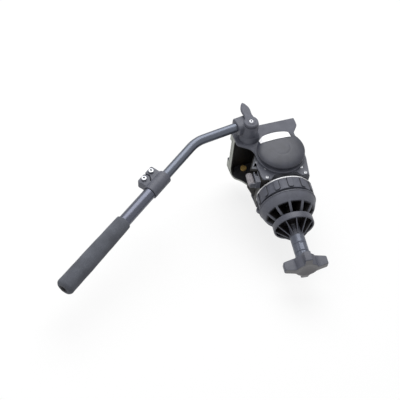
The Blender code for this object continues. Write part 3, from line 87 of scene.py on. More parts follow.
# A corner becomes a short parabola that starts and ends the same distance from it, at most about half a side.
def roundCorners(points, radii, steps=6, closed=True):
    points = np.array(points, float)
    radii = np.broadcast_to(np.array(radii, float), (len(points),))
    before = np.roll(points, 1, axis=0) - points
    after = np.roll(points, -1, axis=0) - points
    rows = []
    for i, corner in enumerate(points):
        if radii[i] <= 0 or (not closed and i in (0, len(points) - 1)):
            rows.append(corner[None])
            continue
        a, b = before[i], after[i]
        sideA, sideB = np.linalg.norm(a), np.linalg.norm(b)
        reach = min(radii[i], 0.49 * sideA, 0.49 * sideB)
        a, b = a / sideA * reach, b / sideB * reach
        t = np.linspace(0, 1, steps)[:, None]
        rows.append(corner + (1 - t) ** 2 * a + t ** 2 * b)
    return np.concatenate(rows)


# Points on a circle between two angles.
def arcPoints(middle, radius, start, end, count):
    angle = np.radians(np.linspace(start, end, count))
    return np.column_stack([middle[0] + radius * np.cos(angle), middle[1] + radius * np.sin(angle)])


# A grid of points becomes quads; its columns close round, and its rows close or end in a flat cap.
def gridShell(points, closeRows=False):
    rows, columns = points.shape[:2]
    index = np.arange(rows * columns).reshape(rows, columns)
    lower = index if closeRows else index[:-1]
    upper = np.roll(index, -1, axis=0) if closeRows else index[1:]
    quads = np.stack([lower, np.roll(lower, -1, axis=1), np.roll(upper, -1, axis=1), upper], axis=-1)
    faces = quads.reshape(-1, 4).tolist()
    if not closeRows:
        faces += [index[0, ::-1].tolist(), index[-1].tolist()]
    return points.reshape(-1, 3), faces


# A profile of radius and height is turned about the out axis, where swell(angle, radius, height) may move its
# points.
def turnedShell(profile, steps=96, closed=False, swell=None):
    profile = np.array(profile, float)
    angle = np.linspace(0, 2 * math.pi, steps, endpoint=False)
    radius = np.repeat(profile[:, :1], steps, axis=1)
    height = np.repeat(profile[:, 1:], steps, axis=1)
    if swell is not None:
        radius, height = swell(angle[None, :] + 0 * radius, radius, height)
    points = np.stack([radius * np.cos(angle), radius * np.sin(angle), height], axis=-1)
    return gridShell(points, closed)


# An outline is lifted from low to high; each edge is a quarter circle drawn inwards along the outline's mitre,
# which is cut short at sharp corners. A rounding of the outline has to be wider than the edge, or the flat ends
# cross themselves.
def slabShell(outline, low, high, edge=1.0, steps=4):
    outline, samePoint, shortestMitre = np.array(outline, float), 1e-4, 0.35
    outline = outline[np.linalg.norm(outline - np.roll(outline, 1, axis=0), axis=1) > samePoint]
    following = np.roll(outline, -1, axis=0)
    if np.sum(outline[:, 0] * following[:, 1] - outline[:, 1] * following[:, 0]) < 0:
        outline = outline[::-1]
    side = np.roll(outline, -1, axis=0) - outline
    side /= np.linalg.norm(side, axis=1)[:, None]
    inward = np.column_stack([-side[:, 1], side[:, 0]])
    earlier = np.roll(inward, 1, axis=0)
    mitre = (inward + earlier) / np.maximum(shortestMitre, 1 + np.sum(inward * earlier, axis=1))[:, None]
    angle = np.linspace(0, math.pi / 2, steps)
    inset = edge * (1 - np.cos(angle))
    rise = edge * (1 - np.sin(angle))
    insets = np.concatenate([inset[::-1], inset])
    heights = np.concatenate([low + rise[::-1], high - rise])
    flat = outline[None] + insets[:, None, None] * mitre[None]
    points = np.concatenate([flat, np.repeat(heights[:, None, None], len(outline), axis=1)], axis=-1)
    return gridShell(points)


# A circle is carried along a path in one plane; its first direction is the plane's normal.
def pipeShell(path, radius, normal, steps=48):
    path, normal = np.array(path, float), np.array(normal, float)
    along = np.gradient(path, axis=0)
    along /= np.linalg.norm(along, axis=1)[:, None]
    side = np.cross(along, normal)
    angle = np.linspace(0, 2 * math.pi, steps, endpoint=False)
    spokes = np.cos(angle)[None, :, None] * normal + np.sin(angle)[None, :, None] * side[:, None]
    return gridShell(path[:, None] + radius * spokes)


# A plain pin about the out axis, with a rounding for its low rim and one for its high rim.
def pinShell(radius, low, high, rounds=(0, 0), steps=40, swell=None):
    profile = roundCorners([(pole, low), (radius, low), (radius, high), (pole, high)], [0, *rounds, 0])
    return turnedShell(profile, steps, swell=swell)


# One outline stands round the pan axis as evenly spaced fins.
def finShells(outline, count, start, thickness, edge):
    fin = slabShell(outline, -thickness / 2, thickness / 2, edge)
    headings = [direction(start + i * 360 / count) for i in range(count)]
    return [(fin, drawingFrame(centre, (*heading, 0), upwards)) for heading in headings]


# The same shell on the far side of its drawing.
def flipped(shell):
    return shell[0] * np.array([1, 1, -1]), shell[1]


# Shells are joined in one mesh. Each is turned inside out where its signed volume is negative.
def addPiece(name, shells, material, body, replaced, sharp=35):
    points, faces = [], []
    count = 0
    for (verts, quads), (origin, turn) in shells:
        verts = verts @ turn.T + origin
        volume = 0.0
        for face in quads:
            corner = verts[face]
            spread = np.cross(corner[1:-1] - corner[0], corner[2:] - corner[0])
            volume += np.sum(spread * (corner[0] - verts[0]))
        step = 1 if volume > 0 else -1
        faces += [[count + i for i in face[::step]] for face in quads]
        points.append(verts)
        count += len(verts)
    mesh = bpy.data.meshes.new(name)
    mesh.from_pydata((np.concatenate(points) * mm).tolist(), [], faces)
    mesh.polygons.foreach_set("use_smooth", np.ones(len(mesh.polygons), bool))
    mesh.set_sharp_from_angle(angle=math.radians(sharp))
    mesh.materials.append(material)
    piece = bpy.data.objects.new(name, mesh)
    bpy.context.scene.collection.objects.link(piece)
    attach(piece, body)
    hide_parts(*replaced)
    return piece


# ---- finishes

def linear(hexColour):
    parts = [int(hexColour[i:i + 2], 16) / 255 for i in (1, 3, 5)]
    return (*[c / 12.92 if c <= 0.04045 else ((c + 0.055) / 1.055) ** 2.4 for c in parts], 1.0)


# A setting is a socket that feeds an input, or else the value of a property or of an input.
def addNode(tree, kind, settings=None):
    made = tree.nodes.new(kind)
    for key, value in (settings or {}).items():
        if isinstance(value, bpy.types.NodeSocket):
            tree.links.new(value, made.inputs[key])
        elif isinstance(key, str) and hasattr(made, key):
            setattr(made, key, value)
        else:
            made.inputs[key].default_value = value
    return made


def newMaterial(name, roughness, metallic=0.0, specular=0.5, sheen=0.0, coat=0.0):
    material = bpy.data.materials.new(name)
    material.use_nodes = True
    tree = material.node_tree
    shader = tree.nodes["Principled BSDF"]
    shader.inputs["Roughness"].default_value = roughness
    shader.inputs["Metallic"].default_value = metallic
    shader.inputs["Specular IOR Level"].default_value = specular
    shader.inputs["Sheen Weight"].default_value = sheen
    shader.inputs["Coat Weight"].default_value = coat
    where = addNode(tree, "ShaderNodeTexCoord").outputs["Object"]
    return material, tree, shader, where


def feedShader(tree, shader, sources):
    for key, source in sources.items():
        tree.links.new(source, shader.inputs[key])


def perMetre(sizeMm):
    return 1.0 / (sizeMm * mm)


# How far a position lies along an axis, or how much a normal leans to it.
def along(tree, vector, axis):
    product = addNode(tree, "ShaderNodeVectorMath", {"operation": "DOT_PRODUCT", 0: vector, 1: axis})
    return product.outputs["Value"]


def distanceFromAxis(tree, where):
    flat = addNode(tree, "ShaderNodeVectorMath", {"operation": "MULTIPLY", 0: where, 1: (1.0, 1.0, 0.0)})
    return addNode(tree, "ShaderNodeVectorMath", {"operation": "LENGTH", 0: flat.outputs[0]}).outputs["Value"]


def distanceFromMiddle(tree, where):
    sideways = along(tree, where, nearToFar)
    return addNode(tree, "ShaderNodeMath", {"operation": "ABSOLUTE", 0: sideways}).outputs[0]


# 1 where the value is above the edge, 0 where it is below, with a soft step between them, all in millimetres.
def above(tree, value, edge, soft=0.6):
    return addNode(tree, "ShaderNodeMapRange", {"From Min": (edge - soft / 2) * mm, "Value": value,
                                                "From Max": (edge + soft / 2) * mm}).outputs["Result"]


def below(tree, value, edge, soft=0.6):
    return above(tree, value, edge, -soft)


def both(tree, *shares):
    result = shares[0]
    for share in shares[1:]:
        result = addNode(tree, "ShaderNodeMath", {"operation": "MULTIPLY", 0: result, 1: share}).outputs[0]
    return result


# 1 where a surface's own normal points along the axis, falling to 0 as it leans away.
def facing(tree, axis, low, high):
    normal = addNode(tree, "ShaderNodeTexCoord").outputs["Normal"]
    return addNode(tree, "ShaderNodeMapRange", {"From Min": low, "From Max": high,
                                                "Value": along(tree, normal, axis)}).outputs["Result"]


# Painted light on the saddle's rear and lower edges, where daylight falls on them, but not on the near cheek's.
def saddlePaintedLight(tree, where):
    return both(tree, facing(tree, (-0.80, 0.0, -0.60), 0.62, 0.85),
                above(tree, along(tree, where, nearToFar), -44.5))


# Painted light on the knob's underside, a little paler than its sides.
def knobUndersideLight(tree, where):
    return facing(tree, (0.0, 0.0, -1.0), 0.80, 0.92)


# Painted shade inside the saddle: between the cheeks, ahead of the deck's rear face and below the deck's
# underside.
def saddleHollowShade(tree, where):
    return both(tree, below(tree, distanceFromMiddle(tree, where), 45.4),
                above(tree, along(tree, where, deckAhead), tiltHeight * tiltSin - 65.6),
                below(tree, along(tree, where, deckUp), tiltHeight * tiltCos + 58.6))


# Painted shade on the rear of the body's core, inside its chamfered sides.
def coreHollowShade(tree, where):
    return both(tree, below(tree, distanceFromMiddle(tree, where), 40.9),
                below(tree, along(tree, where, ahead), -30.0))


# Painted shade in the half ball's windows: nearer to the ball's centre than its skin, and below its roof.
def ballWindowShade(tree, where):
    away = addNode(tree, "ShaderNodeVectorMath", {"operation": "LENGTH", 0: where}).outputs["Value"]
    return both(tree, below(tree, away, 48.0, 2.4), below(tree, along(tree, where, upwards), -12.0))


# Painted shade under the dish: outside its hub, and inside its fins' outer edge, which is straight down to the
# rim's lower edge and slants in below it.
def dishFinShade(tree, where):
    rimLow, rimRadius, slant = -53.7 * mm, 32.6 * mm, 1.119
    radius, height = distanceFromAxis(tree, where), along(tree, where, upwards)
    lower = addNode(tree, "ShaderNodeMath", {"operation": "MINIMUM", 0: height, 1: rimLow}).outputs[0]
    edge = addNode(tree, "ShaderNodeMath", {"operation": "MULTIPLY_ADD", 0: lower, 1: slant,
                                            2: rimRadius - slant * rimLow}).outputs[0]
    inset = addNode(tree, "ShaderNodeMath", {"operation": "SUBTRACT", 0: edge, 1: radius}).outputs[0]
    return both(tree, above(tree, inset, 1.0, 1.0), above(tree, radius, 12.9, 0.4), below(tree, height, -46.0))


# Painted shade on the flanks of the drag ring's tabs, by distance from the axis.
def tabShade(tree, where):
    radius = distanceFromAxis(tree, where)
    return both(tree, above(tree, radius, 48.3, 0.4), below(tree, radius, 50.1, 0.4),
                below(tree, along(tree, where, upwards), 16.2))


# 1 at edges, where a bevelled normal differs from the flat one; there the finish is lightened, for wear and as a
# painted highlight.
def edgeWearAndHighlight(tree, look):
    soft = addNode(tree, "ShaderNodeBevel", {"samples": 4, "Radius": look["edgeMm"] * mm}).outputs["Normal"]
    flat = addNode(tree, "ShaderNodeNewGeometry").outputs["Normal"]
    likeness = addNode(tree, "ShaderNodeVectorMath", {"operation": "DOT_PRODUCT", 0: soft, 1: flat})
    return addNode(tree, "ShaderNodeMapRange", {"From Min": 1.0, "From Max": 0.80, "To Max": look["edge"],
                                                "Value": likeness.outputs["Value"]}).outputs["Result"]


# A coarse mottle between two colours, fine grit that darkens its own hollows, and roughness that follows the
# grit. Over it lie edges lightened by wear and a painted highlight, painted shade in a hollow and painted light,
# each where the look has it.
def grainedFinish(name, look):
    rough = look["roughness"]
    material, tree, shader, where = newMaterial(name, rough[0], specular=look["specular"],
                                                sheen=look.get("sheen", 0.0))
    mottle = addNode(tree, "ShaderNodeTexNoise", {"Scale": perMetre(look["mottleMm"]), "Detail": 3.0,
                                                  "Vector": where}).outputs["Fac"]
    grit = addNode(tree, "ShaderNodeTexNoise", {"Scale": perMetre(look["gritMm"]), "Detail": 2.0,
                                                "Roughness": 0.7, "Vector": where}).outputs["Fac"]
    spread = addNode(tree, "ShaderNodeMapRange", {"From Min": 0.35, "From Max": 0.65, "Value": mottle})
    base = addNode(tree, "ShaderNodeMix", {"data_type": "RGBA", 0: spread.outputs["Result"],
                                           6: linear(look["dark"]), 7: linear(look["light"])})
    gritRanges = []
    for low, high in ((1.0 - look["speck"], 1.0 + look["speck"]), rough):
        made = addNode(tree, "ShaderNodeMapRange", {"From Min": 0.3, "From Max": 0.7, "To Min": low,
                                                    "To Max": high, "Value": grit})
        gritRanges.append(made.outputs["Result"])
    colour = addNode(tree, "ShaderNodeMix", {"data_type": "RGBA", "blend_type": "MULTIPLY", 0: 1.0,
                                             6: base.outputs[2], 7: gritRanges[0]}).outputs[2]
    layers = []
    if "edgeWearHighlightTint" in look:
        layers.append((edgeWearAndHighlight(tree, look), look["edgeWearHighlightTint"]))
    if "hollow" in look:
        layers.append((look["hollow"](tree, where), look["shade"]))
    if "paintedLightMask" in look:
        layers.append((look["paintedLightMask"](tree, where), look["paintedLightTint"]))
    for share, tint in layers:
        colour = addNode(tree, "ShaderNodeMix", {"data_type": "RGBA", 0: share, 6: colour,
                                                 7: linear(tint)}).outputs[2]
    bump = addNode(tree, "ShaderNodeBump", {"Strength": look["bump"], "Distance": look["gritMm"] * mm,
                                            "Height": grit})
    feedShader(tree, shader, {"Base Color": colour, "Roughness": gritRanges[1],
                              "Normal": bump.outputs["Normal"]})
    return material


# Sprayed crackle paint on die-cast aluminium: satin, finely pebbled, lighter on its edges from wear and a painted
# highlight.
# Its grit is about 0.3 mm and is drawn at 1.6 mm, or it would not show at this picture's size.
castingLook = dict(mottleMm=14.0, gritMm=1.6, speck=0.10, bump=0.10, roughness=(0.42, 0.56), specular=0.40,
                   edge=0.55, edgeMm=1.0, edgeWearHighlightTint="#84868e")
paintedCasting = grainedFinish("paintedDieCastAluminium", dict(castingLook, dark="#4d4f59", light="#565862"))

# Sprayed paint on pressed steel: thinner and smoother than on the castings.
hookPaint = grainedFinish("paintedPressedSteel", dict(
    dark="#7c7e86", light="#8a8c93", mottleMm=6.0, gritMm=1.4, speck=0.06, bump=0.05, roughness=(0.40, 0.52),
    specular=0.45))

# The saddle has the castings' paint outside, with painted light at its rear and painted shade inside its hollow.
saddlePaint = grainedFinish("paintedSaddleCasting", dict(
    castingLook, dark="#4a4c56", light="#545660", mottleMm=18.0, gritMm=1.7, bump=0.12, roughness=(0.45, 0.60),
    specular=0.35, edge=0.45, edgeWearHighlightTint="#85878e", paintedLightMask=saddlePaintedLight, paintedLightTint="#a9aca5", hollow=saddleHollowShade,
    shade="#0c0a09"))

# The body's casting is painted outside, and has near-black painted shade where the saddle hides it.
coreCasting = grainedFinish("paintedBodyCasting", dict(
    castingLook, dark="#55575d", light="#5f6168", roughness=(0.45, 0.60), specular=0.35, edge=0.40,
    edgeWearHighlightTint="#7e8086", hollow=coreHollowShade, shade="#100e0d"))

# The ball's casting is painted on its skin, with near-black painted shade in its windows.
ballCasting = grainedFinish("paintedBallCasting", dict(
    castingLook, dark="#4e5059", light="#575963", hollow=ballWindowShade, shade="#0d0b0b"))

# Moulded glass-filled nylon: very fine spark-eroded grain, drawn at 1.4 mm, with a soft sheen on its crowns.
nylonLook = dict(mottleMm=16.0, gritMm=1.4, speck=0.07, bump=0.06, roughness=(0.40, 0.50), specular=0.45,
                 edge=0.45, edgeMm=0.9, edgeWearHighlightTint="#7d8088")
mouldedNylon = grainedFinish("mouldedGlassFilledNylon", dict(
    nylonLook, dark="#2f313a", light="#373943", roughness=(0.32, 0.42), specular=0.38, edge=0.40,
    edgeWearHighlightTint="#5d6068"))
# The knob's underside has painted light.
knobNylon = grainedFinish("mouldedNylonKnob", dict(
    nylonLook, dark="#464852", light="#4e505b", paintedLightMask=knobUndersideLight, paintedLightTint="#6a696b"))

# The same nylon where hands have polished it less: the levers, the dial and the drag ring.
gripLook = dict(mottleMm=9.0, gritMm=1.4, speck=0.10, bump=0.10, roughness=(0.48, 0.60), specular=0.35)
ribbedNylon = grainedFinish("mouldedNylonGrip", dict(
    gripLook, dark="#4c4e58", light="#565862", edge=0.50, edgeMm=0.8, edgeWearHighlightTint="#777a83"))
# The drag ring's tab flanks have painted shade.
ringNylon = grainedFinish("mouldedNylonDragRing", dict(
    gripLook, dark="#4f515b", light="#595b65", speck=0.08, bump=0.08, hollow=tabShade, shade="#26262b"))

# The dish is the first nylon again, paler at the rim from wear and a painted highlight, with painted shade between
# its fins.
dishNylon = grainedFinish("mouldedNylonDish", dict(
    nylonLook, dark="#42444e", light="#4b4d58", edge=0.50, edgeMm=0.8, edgeWearHighlightTint="#8a8d95", hollow=dishFinShade,
    shade="#0f0c0e"))

# Closed-cell neoprene foam: matt, with skin pores of 0.5 mm drawn at 1.5 mm, and paler rubbed patches.
foamSkin = grainedFinish("closedCellFoamSkin", dict(
    dark="#4f5158", light="#5d6068", mottleMm=22.0, gritMm=1.5, speck=0.14, bump=0.25, roughness=(0.80, 0.95),
    specular=0.15, sheen=0.10))

# A paler nylon for the lock wheel, a little worn.
wheelNylon = grainedFinish("mouldedNylonWheel", dict(
    gripLook, dark="#7b787c", light="#8b888c", mottleMm=5.0, gritMm=1.2, roughness=(0.45, 0.60)))

# Moulded rubber: nearly black and dull, with a faint skin.
blackRubber = grainedFinish("mouldedRubber", dict(
    gripLook, dark="#17171a", light="#202125", mottleMm=6.0, gritMm=1.2, roughness=(0.60, 0.75), specular=0.30))

# Polyester label with a matt print coat, faintly uneven where it was pressed down.
labelFilm = grainedFinish("mattPolyesterLabel", dict(
    dark="#ececef", light="#f7f7f9", mottleMm=7.0, gritMm=1.5, speck=0.02, bump=0.03, roughness=(0.45, 0.60),
    specular=0.30))


# One noise of tool marks drives the metal's tone and its roughness. With a heading, seen from the side, it is
# stretched fifty times along it, as drawing a tube leaves its marks.
def markedMetal(name, look):
    roughness = look["roughness"]
    material, tree, shader, where = newMaterial(name, roughness, look["metallic"])
    if "heading" in look:
        turned = addNode(tree, "ShaderNodeMapping", {"Rotation": (0.0, math.radians(look["heading"]), 0.0),
                                                     "Scale": (0.02, 1.0, 1.0), "Vector": where})
        where = turned.outputs[0]
    marks = addNode(tree, "ShaderNodeTexNoise", {"Scale": perMetre(look["markMm"]), "Detail": look["detail"],
                                                 "Vector": where}).outputs["Fac"]
    tone = addNode(tree, "ShaderNodeMix", {"data_type": "RGBA", 0: marks, 6: linear(look["dark"]),
                                           7: linear(look["light"])})
    rough = addNode(tree, "ShaderNodeMapRange", {"To Min": roughness - look["smoother"],
                                                 "To Max": roughness + look["rougher"], "Value": marks})
    feedShader(tree, shader, {"Base Color": tone.outputs[2], "Roughness": rough.outputs["Result"]})
    return material


# Turned and plated metal: bright, with soft patches where the lathe's marks catch the light.
platedLook = dict(markMm=1.5, detail=4.0, smoother=0.06, rougher=0.10, metallic=1.0)
zincPlate = markedMetal("zincPlatedSteel", dict(
    platedLook, dark="#8e9095", light="#b9babd", roughness=0.36))
polishedRing = markedMetal("polishedStainlessRing", dict(
    platedLook, dark="#e6e7ea", light="#f8f8fa", roughness=0.40, metallic=0.15))
turnedBrass = markedMetal("turnedBrass", dict(
    platedLook, dark="#cfa659", light="#f0cf86", roughness=0.35, metallic=0.4))

# Drawn tube, anodised black: satin, with fine lines that run with the tube.
tubeLook = dict(markMm=1.2, detail=3.0, smoother=0.05, rougher=0.08, metallic=0.75)
upperTube = markedMetal("blackAnodisedBar", dict(
    tubeLook, dark="#4e525c", light="#636873", roughness=0.34, heading=20.0))
lowerTube = markedMetal("blackAnodisedOuterTube", dict(
    tubeLook, dark="#4a4c57", light="#5c5f6b", roughness=0.26, heading=45.0))
sleeveTube = markedMetal("blackAnodisedSleeve", dict(
    tubeLook, dark="#4c505b", light="#5d616d", roughness=0.34, heading=90.0, metallic=0.5))


# Ribbed rubber pad: a sine wave across the pad, about every 3 mm, drives its tone and its height.
def ribbedPad():
    material, tree, shader, where = newMaterial("ribbedRubberPad", 0.75, 0.0, 0.3)
    turned = addNode(tree, "ShaderNodeMapping", {"Rotation": (0.0, math.radians(restTilt), 0.0),
                                                 "Vector": where})
    wave = addNode(tree, "ShaderNodeTexWave", {"wave_profile": "SIN", "bands_direction": "X",
                                               "Scale": perMetre(3.0) / math.pi,
                                               "Vector": turned.outputs[0]}).outputs["Fac"]
    tone = addNode(tree, "ShaderNodeMix", {"data_type": "RGBA", 0: wave, 6: linear("#141416"),
                                           7: linear("#2a2a2d")})
    bump = addNode(tree, "ShaderNodeBump", {"Strength": 0.8, "Distance": 0.6 * mm, "Height": wave})
    feedShader(tree, shader, {"Base Color": tone.outputs[2], "Normal": bump.outputs["Normal"]})
    return material


# Acrylic vial with a yellow-green fluid; its bubble is a pale disc round its own centre.
def levelVial(bubbleCentre):
    material, tree, shader, where = newMaterial("levelVialAcrylic", 0.08, 0.0, 0.5, coat=0.5)
    spot = tuple(value * mm for value in bubbleCentre)
    away = addNode(tree, "ShaderNodeVectorMath", {"operation": "DISTANCE", 0: where, 1: spot}).outputs["Value"]
    tone = addNode(tree, "ShaderNodeMix", {"data_type": "RGBA", 0: above(tree, away, 2.2, 0.4),
                                           6: linear("#e6efb4"), 7: linear("#a9c53a")})
    feedShader(tree, shader, {"Base Color": tone.outputs[2]})
    return material


padRubber = ribbedPad()
vialFluid = levelVial((50.6, 36.0, 27.4))
print("finishes made:", len(bpy.data.materials))


# ---- half ball: a domed skirt under a thick roof, eleven ribs, a boss

ball = dict(radius=50.0, lipRadius=50.2, top=-7.7, lip=1.6, band=-25.5, wall=6.0, roof=7.0, bossRadius=13.0,
            bossBottom=-42.0, spindle=8.3, spindleDepth=6.0, ribs=11, ribThickness=4.2, ribStart=-100.5,
            ribBottom=-40.0, ribInset=0.25)


def onBall(heights):
    return np.column_stack([np.sqrt(ball["radius"] ** 2 - heights ** 2), heights])


def makeHalfBall():
    top, band, boss, spindle = ball["top"], ball["band"], ball["bossRadius"], ball["spindle"]
    skin = onBall(np.linspace(top - ball["lip"], band, 14))
    inner = skin[-1, 0] - ball["wall"]
    under = top - ball["roof"]
    seat = under - ball["spindleDepth"]
    lip = roundCorners([(spindle, top), (ball["lipRadius"], top), (ball["lipRadius"], top - ball["lip"])], 0.7,
                       closed=False)
    foot = roundCorners([skin[-2], skin[-1], (inner, band), (inner, under), (boss, under),
                         (boss, ball["bossBottom"]), (studBore, ball["bossBottom"]), (studBore, seat),
                         (spindle, seat), (spindle, top)], [0, 0.9, 0.9, 1.5, 2.0, 1.0, 0, 0, 0, 0], closed=False)
    skirt = turnedShell(np.concatenate([lip, skin[:-2], foot[:-1]]), 132, closed=True)
    outer = onBall(np.linspace(band + 3.0, ball["ribBottom"], 8))
    outer[:, 0] -= ball["ribInset"]
    rib = [(boss - 1.0, under + 2.0), (inner - 1.0, under + 2.0), (inner + 1.0, band + 3.0)]
    outline = np.concatenate([rib, outer, [(boss - 1.0, ball["ribBottom"])]])
    ribs = finShells(outline, ball["ribs"], ball["ribStart"], ball["ribThickness"], 0.7)
    addPiece("halfBall", [(skirt, panFrame)] + ribs, ballCasting, "base", ["half_ball"])


# ---- tie-down: finned dish, fluted sleeve, four-winged knob

dish = dict(rimRadius=35.2, top=-42.2, rim=11.5, wall=3.0, floor=3.5, hubRadius=12.4, hubBottom=-72.0, fins=11,
            finThickness=1.8, finStart=-92.6)
sleeve = dict(radius=12.4, top=-72.3, bottom=-114.0, grooves=(-87.7, -103.7), grooveWidth=1.4, grooveDepth=0.8,
              flutes=12, fluteDepth=0.45)
knob = dict(reach=36.8, sideReach=29.5, width=12.0, hub=19.2, tip=3.6, fillet=19.0, turn=-2.0, top=-114.3,
            height=21.7, flatRadius=20.5, fall=3.7, rise=3.8, dimpleRadius=15.0, dimple=3.5, edge=1.6,
            seatRadius=8.2, seat=10.3)


def makeDish():
    top, hub, hubBottom, outer = dish["top"], dish["hubRadius"], dish["hubBottom"], dish["rimRadius"]
    inner = outer - dish["wall"]
    rimBottom = top - dish["rim"]
    floor = top - dish["wall"]
    under, root = floor - dish["floor"], floor - 2 * dish["floor"]
    profile = roundCorners([(studBore, under), (hub, under), (inner - dish["wall"], floor), (inner, top),
                            (outer, top), (outer, rimBottom), (inner, rimBottom), (inner, under), (hub, root),
                            (hub, hubBottom), (studBore, hubBottom)],
                           [0, 1, 1, 1, 1.6, 1.4, 1.0, 2, 2.5, 0.6, 0])
    outline = roundCorners([(hub - 1, root + 1.5), (inner + 1.0, under + 1.5), (inner + 1.0, rimBottom + 0.4),
                            (hub + 1.0, hubBottom + 0.6), (hub - 1, hubBottom + 0.6)], [0, 0, 1.5, 2.5, 0])
    shells = [(turnedShell(profile, 120, closed=True), panFrame)]
    shells += finShells(outline, dish["fins"], dish["finStart"], dish["finThickness"], 0.5)
    addPiece("clampDish", shells, dishNylon, "dish", ["clamp_dish"])


# Radius falls in round grooves at two heights, and in shallow flutes between the upper groove and the knob.
def makeKnobSleeve():
    top, bottom, grooves = sleeve["top"], sleeve["bottom"], sleeve["grooves"]
    heights = np.linspace(top, bottom, 150)
    radius = np.full(len(heights), sleeve["radius"])
    for groove in grooves:
        radius -= sleeve["grooveDepth"] * np.exp(-((heights - groove) / (sleeve["grooveWidth"] / 2)) ** 2)
    profile = np.concatenate([np.column_stack([radius, heights]), [(studBore, bottom), (studBore, top)]])

    def flutes(angle, radius, height):
        share = np.clip((grooves[0] - 1.0 - height) / 2.0, 0, 1) * (radius > sleeve["radius"] / 2)
        return radius - sleeve["fluteDepth"] * share * (0.5 + 0.5 * np.cos(sleeve["flutes"] * angle)), height

    shell = turnedShell(profile, 144, closed=True, swell=flutes)
    addPiece("knobSleeve", [(shell, panFrame)], sleeveTube, "knob", ["knob_sleeve"])


# Seen from above: straight wings joined by quarter circles, which touch the sides of both wings.
def knobOutline():
    half = knob["width"] / 2
    rim = []
    for i, reach in enumerate((knob["reach"], knob["sideReach"]) * 2):
        heading = 90 * i + knob["turn"]
        out, left = direction(heading), direction(heading + 90)
        root, end = reach * 0.88 * out, reach * out
        rim.append(roundCorners([root - half * left, end - half * left, end + half * left, root + half * left],
                                [0, knob["tip"], knob["tip"], 0], 8, closed=False))
        middle = (half + knob["fillet"]) * (out + left)
        rim.append(arcPoints(middle, knob["fillet"], heading - 90, heading - 180, 22))
    rim = np.concatenate(rim)
    return rim * np.maximum(1, knob["hub"] / np.linalg.norm(rim, axis=1))[:, None]


# Rings run from the middle of the underside, over the rim, to the socket for the nut in the top. The underside
# has a dimple of depth d (1 - (r / R)^2) and rises evenly beyond the hub; the top falls evenly beyond its flat
# middle.
def makeKnob():
    rim = knobOutline()
    reach = np.linalg.norm(rim, axis=1)
    toward = rim / reach[:, None]
    top, bottom, edge, dimple = knob["top"], knob["top"] - knob["height"], knob["edge"], knob["dimpleRadius"]
    inner = reach - edge

    def topHeight(radius):
        share = np.maximum(radius - knob["flatRadius"], 0) / (knob["reach"] - knob["flatRadius"])
        return top - knob["fall"] * share

    def lowHeight(radius):
        return bottom + knob["rise"] * np.maximum(radius - knob["hub"], 0) / (knob["reach"] - knob["hub"])

    rings = [(radius, bottom + knob["dimple"] * (1 - (radius / dimple) ** 2))
             for radius in np.linspace(0.02, 1, 14) * (dimple - 0.5)]
    rings.append((dimple - 0.1, bottom - 0.02))
    for share in np.linspace(0.1, 1, 8):
        radius = dimple + share * (inner - dimple)
        rings.append((radius, lowHeight(radius)))
    roundings = np.radians(np.linspace(12, 90, 6))
    for angle in roundings:
        radius = reach - edge * (1 - math.sin(angle))
        rings.append((radius, lowHeight(radius) + edge * (1 - math.cos(angle))))
    for angle in roundings[::-1]:
        radius = reach - edge * (1 - math.sin(angle))
        rings.append((radius, topHeight(radius) - edge * (1 - math.cos(angle))))
    seat, floor = knob["seatRadius"], top - knob["seat"]
    for share in np.linspace(1, 0, 12):
        radius = seat + share * (inner - seat)
        rings.append((radius, topHeight(radius)))
    rings += [(seat, top - 0.5), (seat, floor), (0.02, floor)]
    zero = 0 * reach
    points = np.array([np.column_stack([toward * (zero + radius)[:, None], zero + height])
                       for radius, height in rings])
    addPiece("tieDownKnob", [(gridShell(points), panFrame)], knobNylon, "knob", ["tie_down_knob"])


makeHalfBall()
makeDish()
makeKnobSleeve()
makeKnob()
print("half ball and tie-down made")


# ---- pan drag ring and the bright ring above it

dragRing = dict(radius=48.0, bore=44.3, bottom=-2.5, top=18.2, tabs=13, start=-88.4, width=9.2, reach=2.4,
                corner=3.4, blend=0.9, fade=1.4, tabLow=0.8, tabOver=6.0)
indexRing = dict(radius=48.4, bore=44.3, bottom=18.5, top=20.7)


# Radius rises by the tab's reach inside a rounded rectangle: a smooth step of the distance to its outline. The
# rectangle ends above the ring, and the tab's top is rounded off as the square root of the height left.
def tabSwell(angle, radius, height):
    pitch = 2 * math.pi / dragRing["tabs"]
    turn = (angle - math.radians(dragRing["start"]) + pitch / 2) % pitch - pitch / 2
    sideways = np.abs(turn) * dragRing["radius"]
    low, high = dragRing["bottom"] + dragRing["tabLow"], dragRing["top"] + dragRing["tabOver"]
    x = np.maximum(sideways - dragRing["width"] / 2 + dragRing["corner"], 0)
    y = np.maximum(np.abs(height - (low + high) / 2) - (high - low) / 2 + dragRing["corner"], 0)
    inside = dragRing["corner"] - np.hypot(x, y)
    share = np.clip(inside / dragRing["blend"] + 0.5, 0, 1)
    onWall = radius > dragRing["radius"] - 1.5
    share = share * share * (3 - 2 * share) * onWall
    fade = np.clip((dragRing["top"] - 0.2 - height) / dragRing["fade"], 0, 1)
    return radius + dragRing["reach"] * share * np.sqrt(fade), height


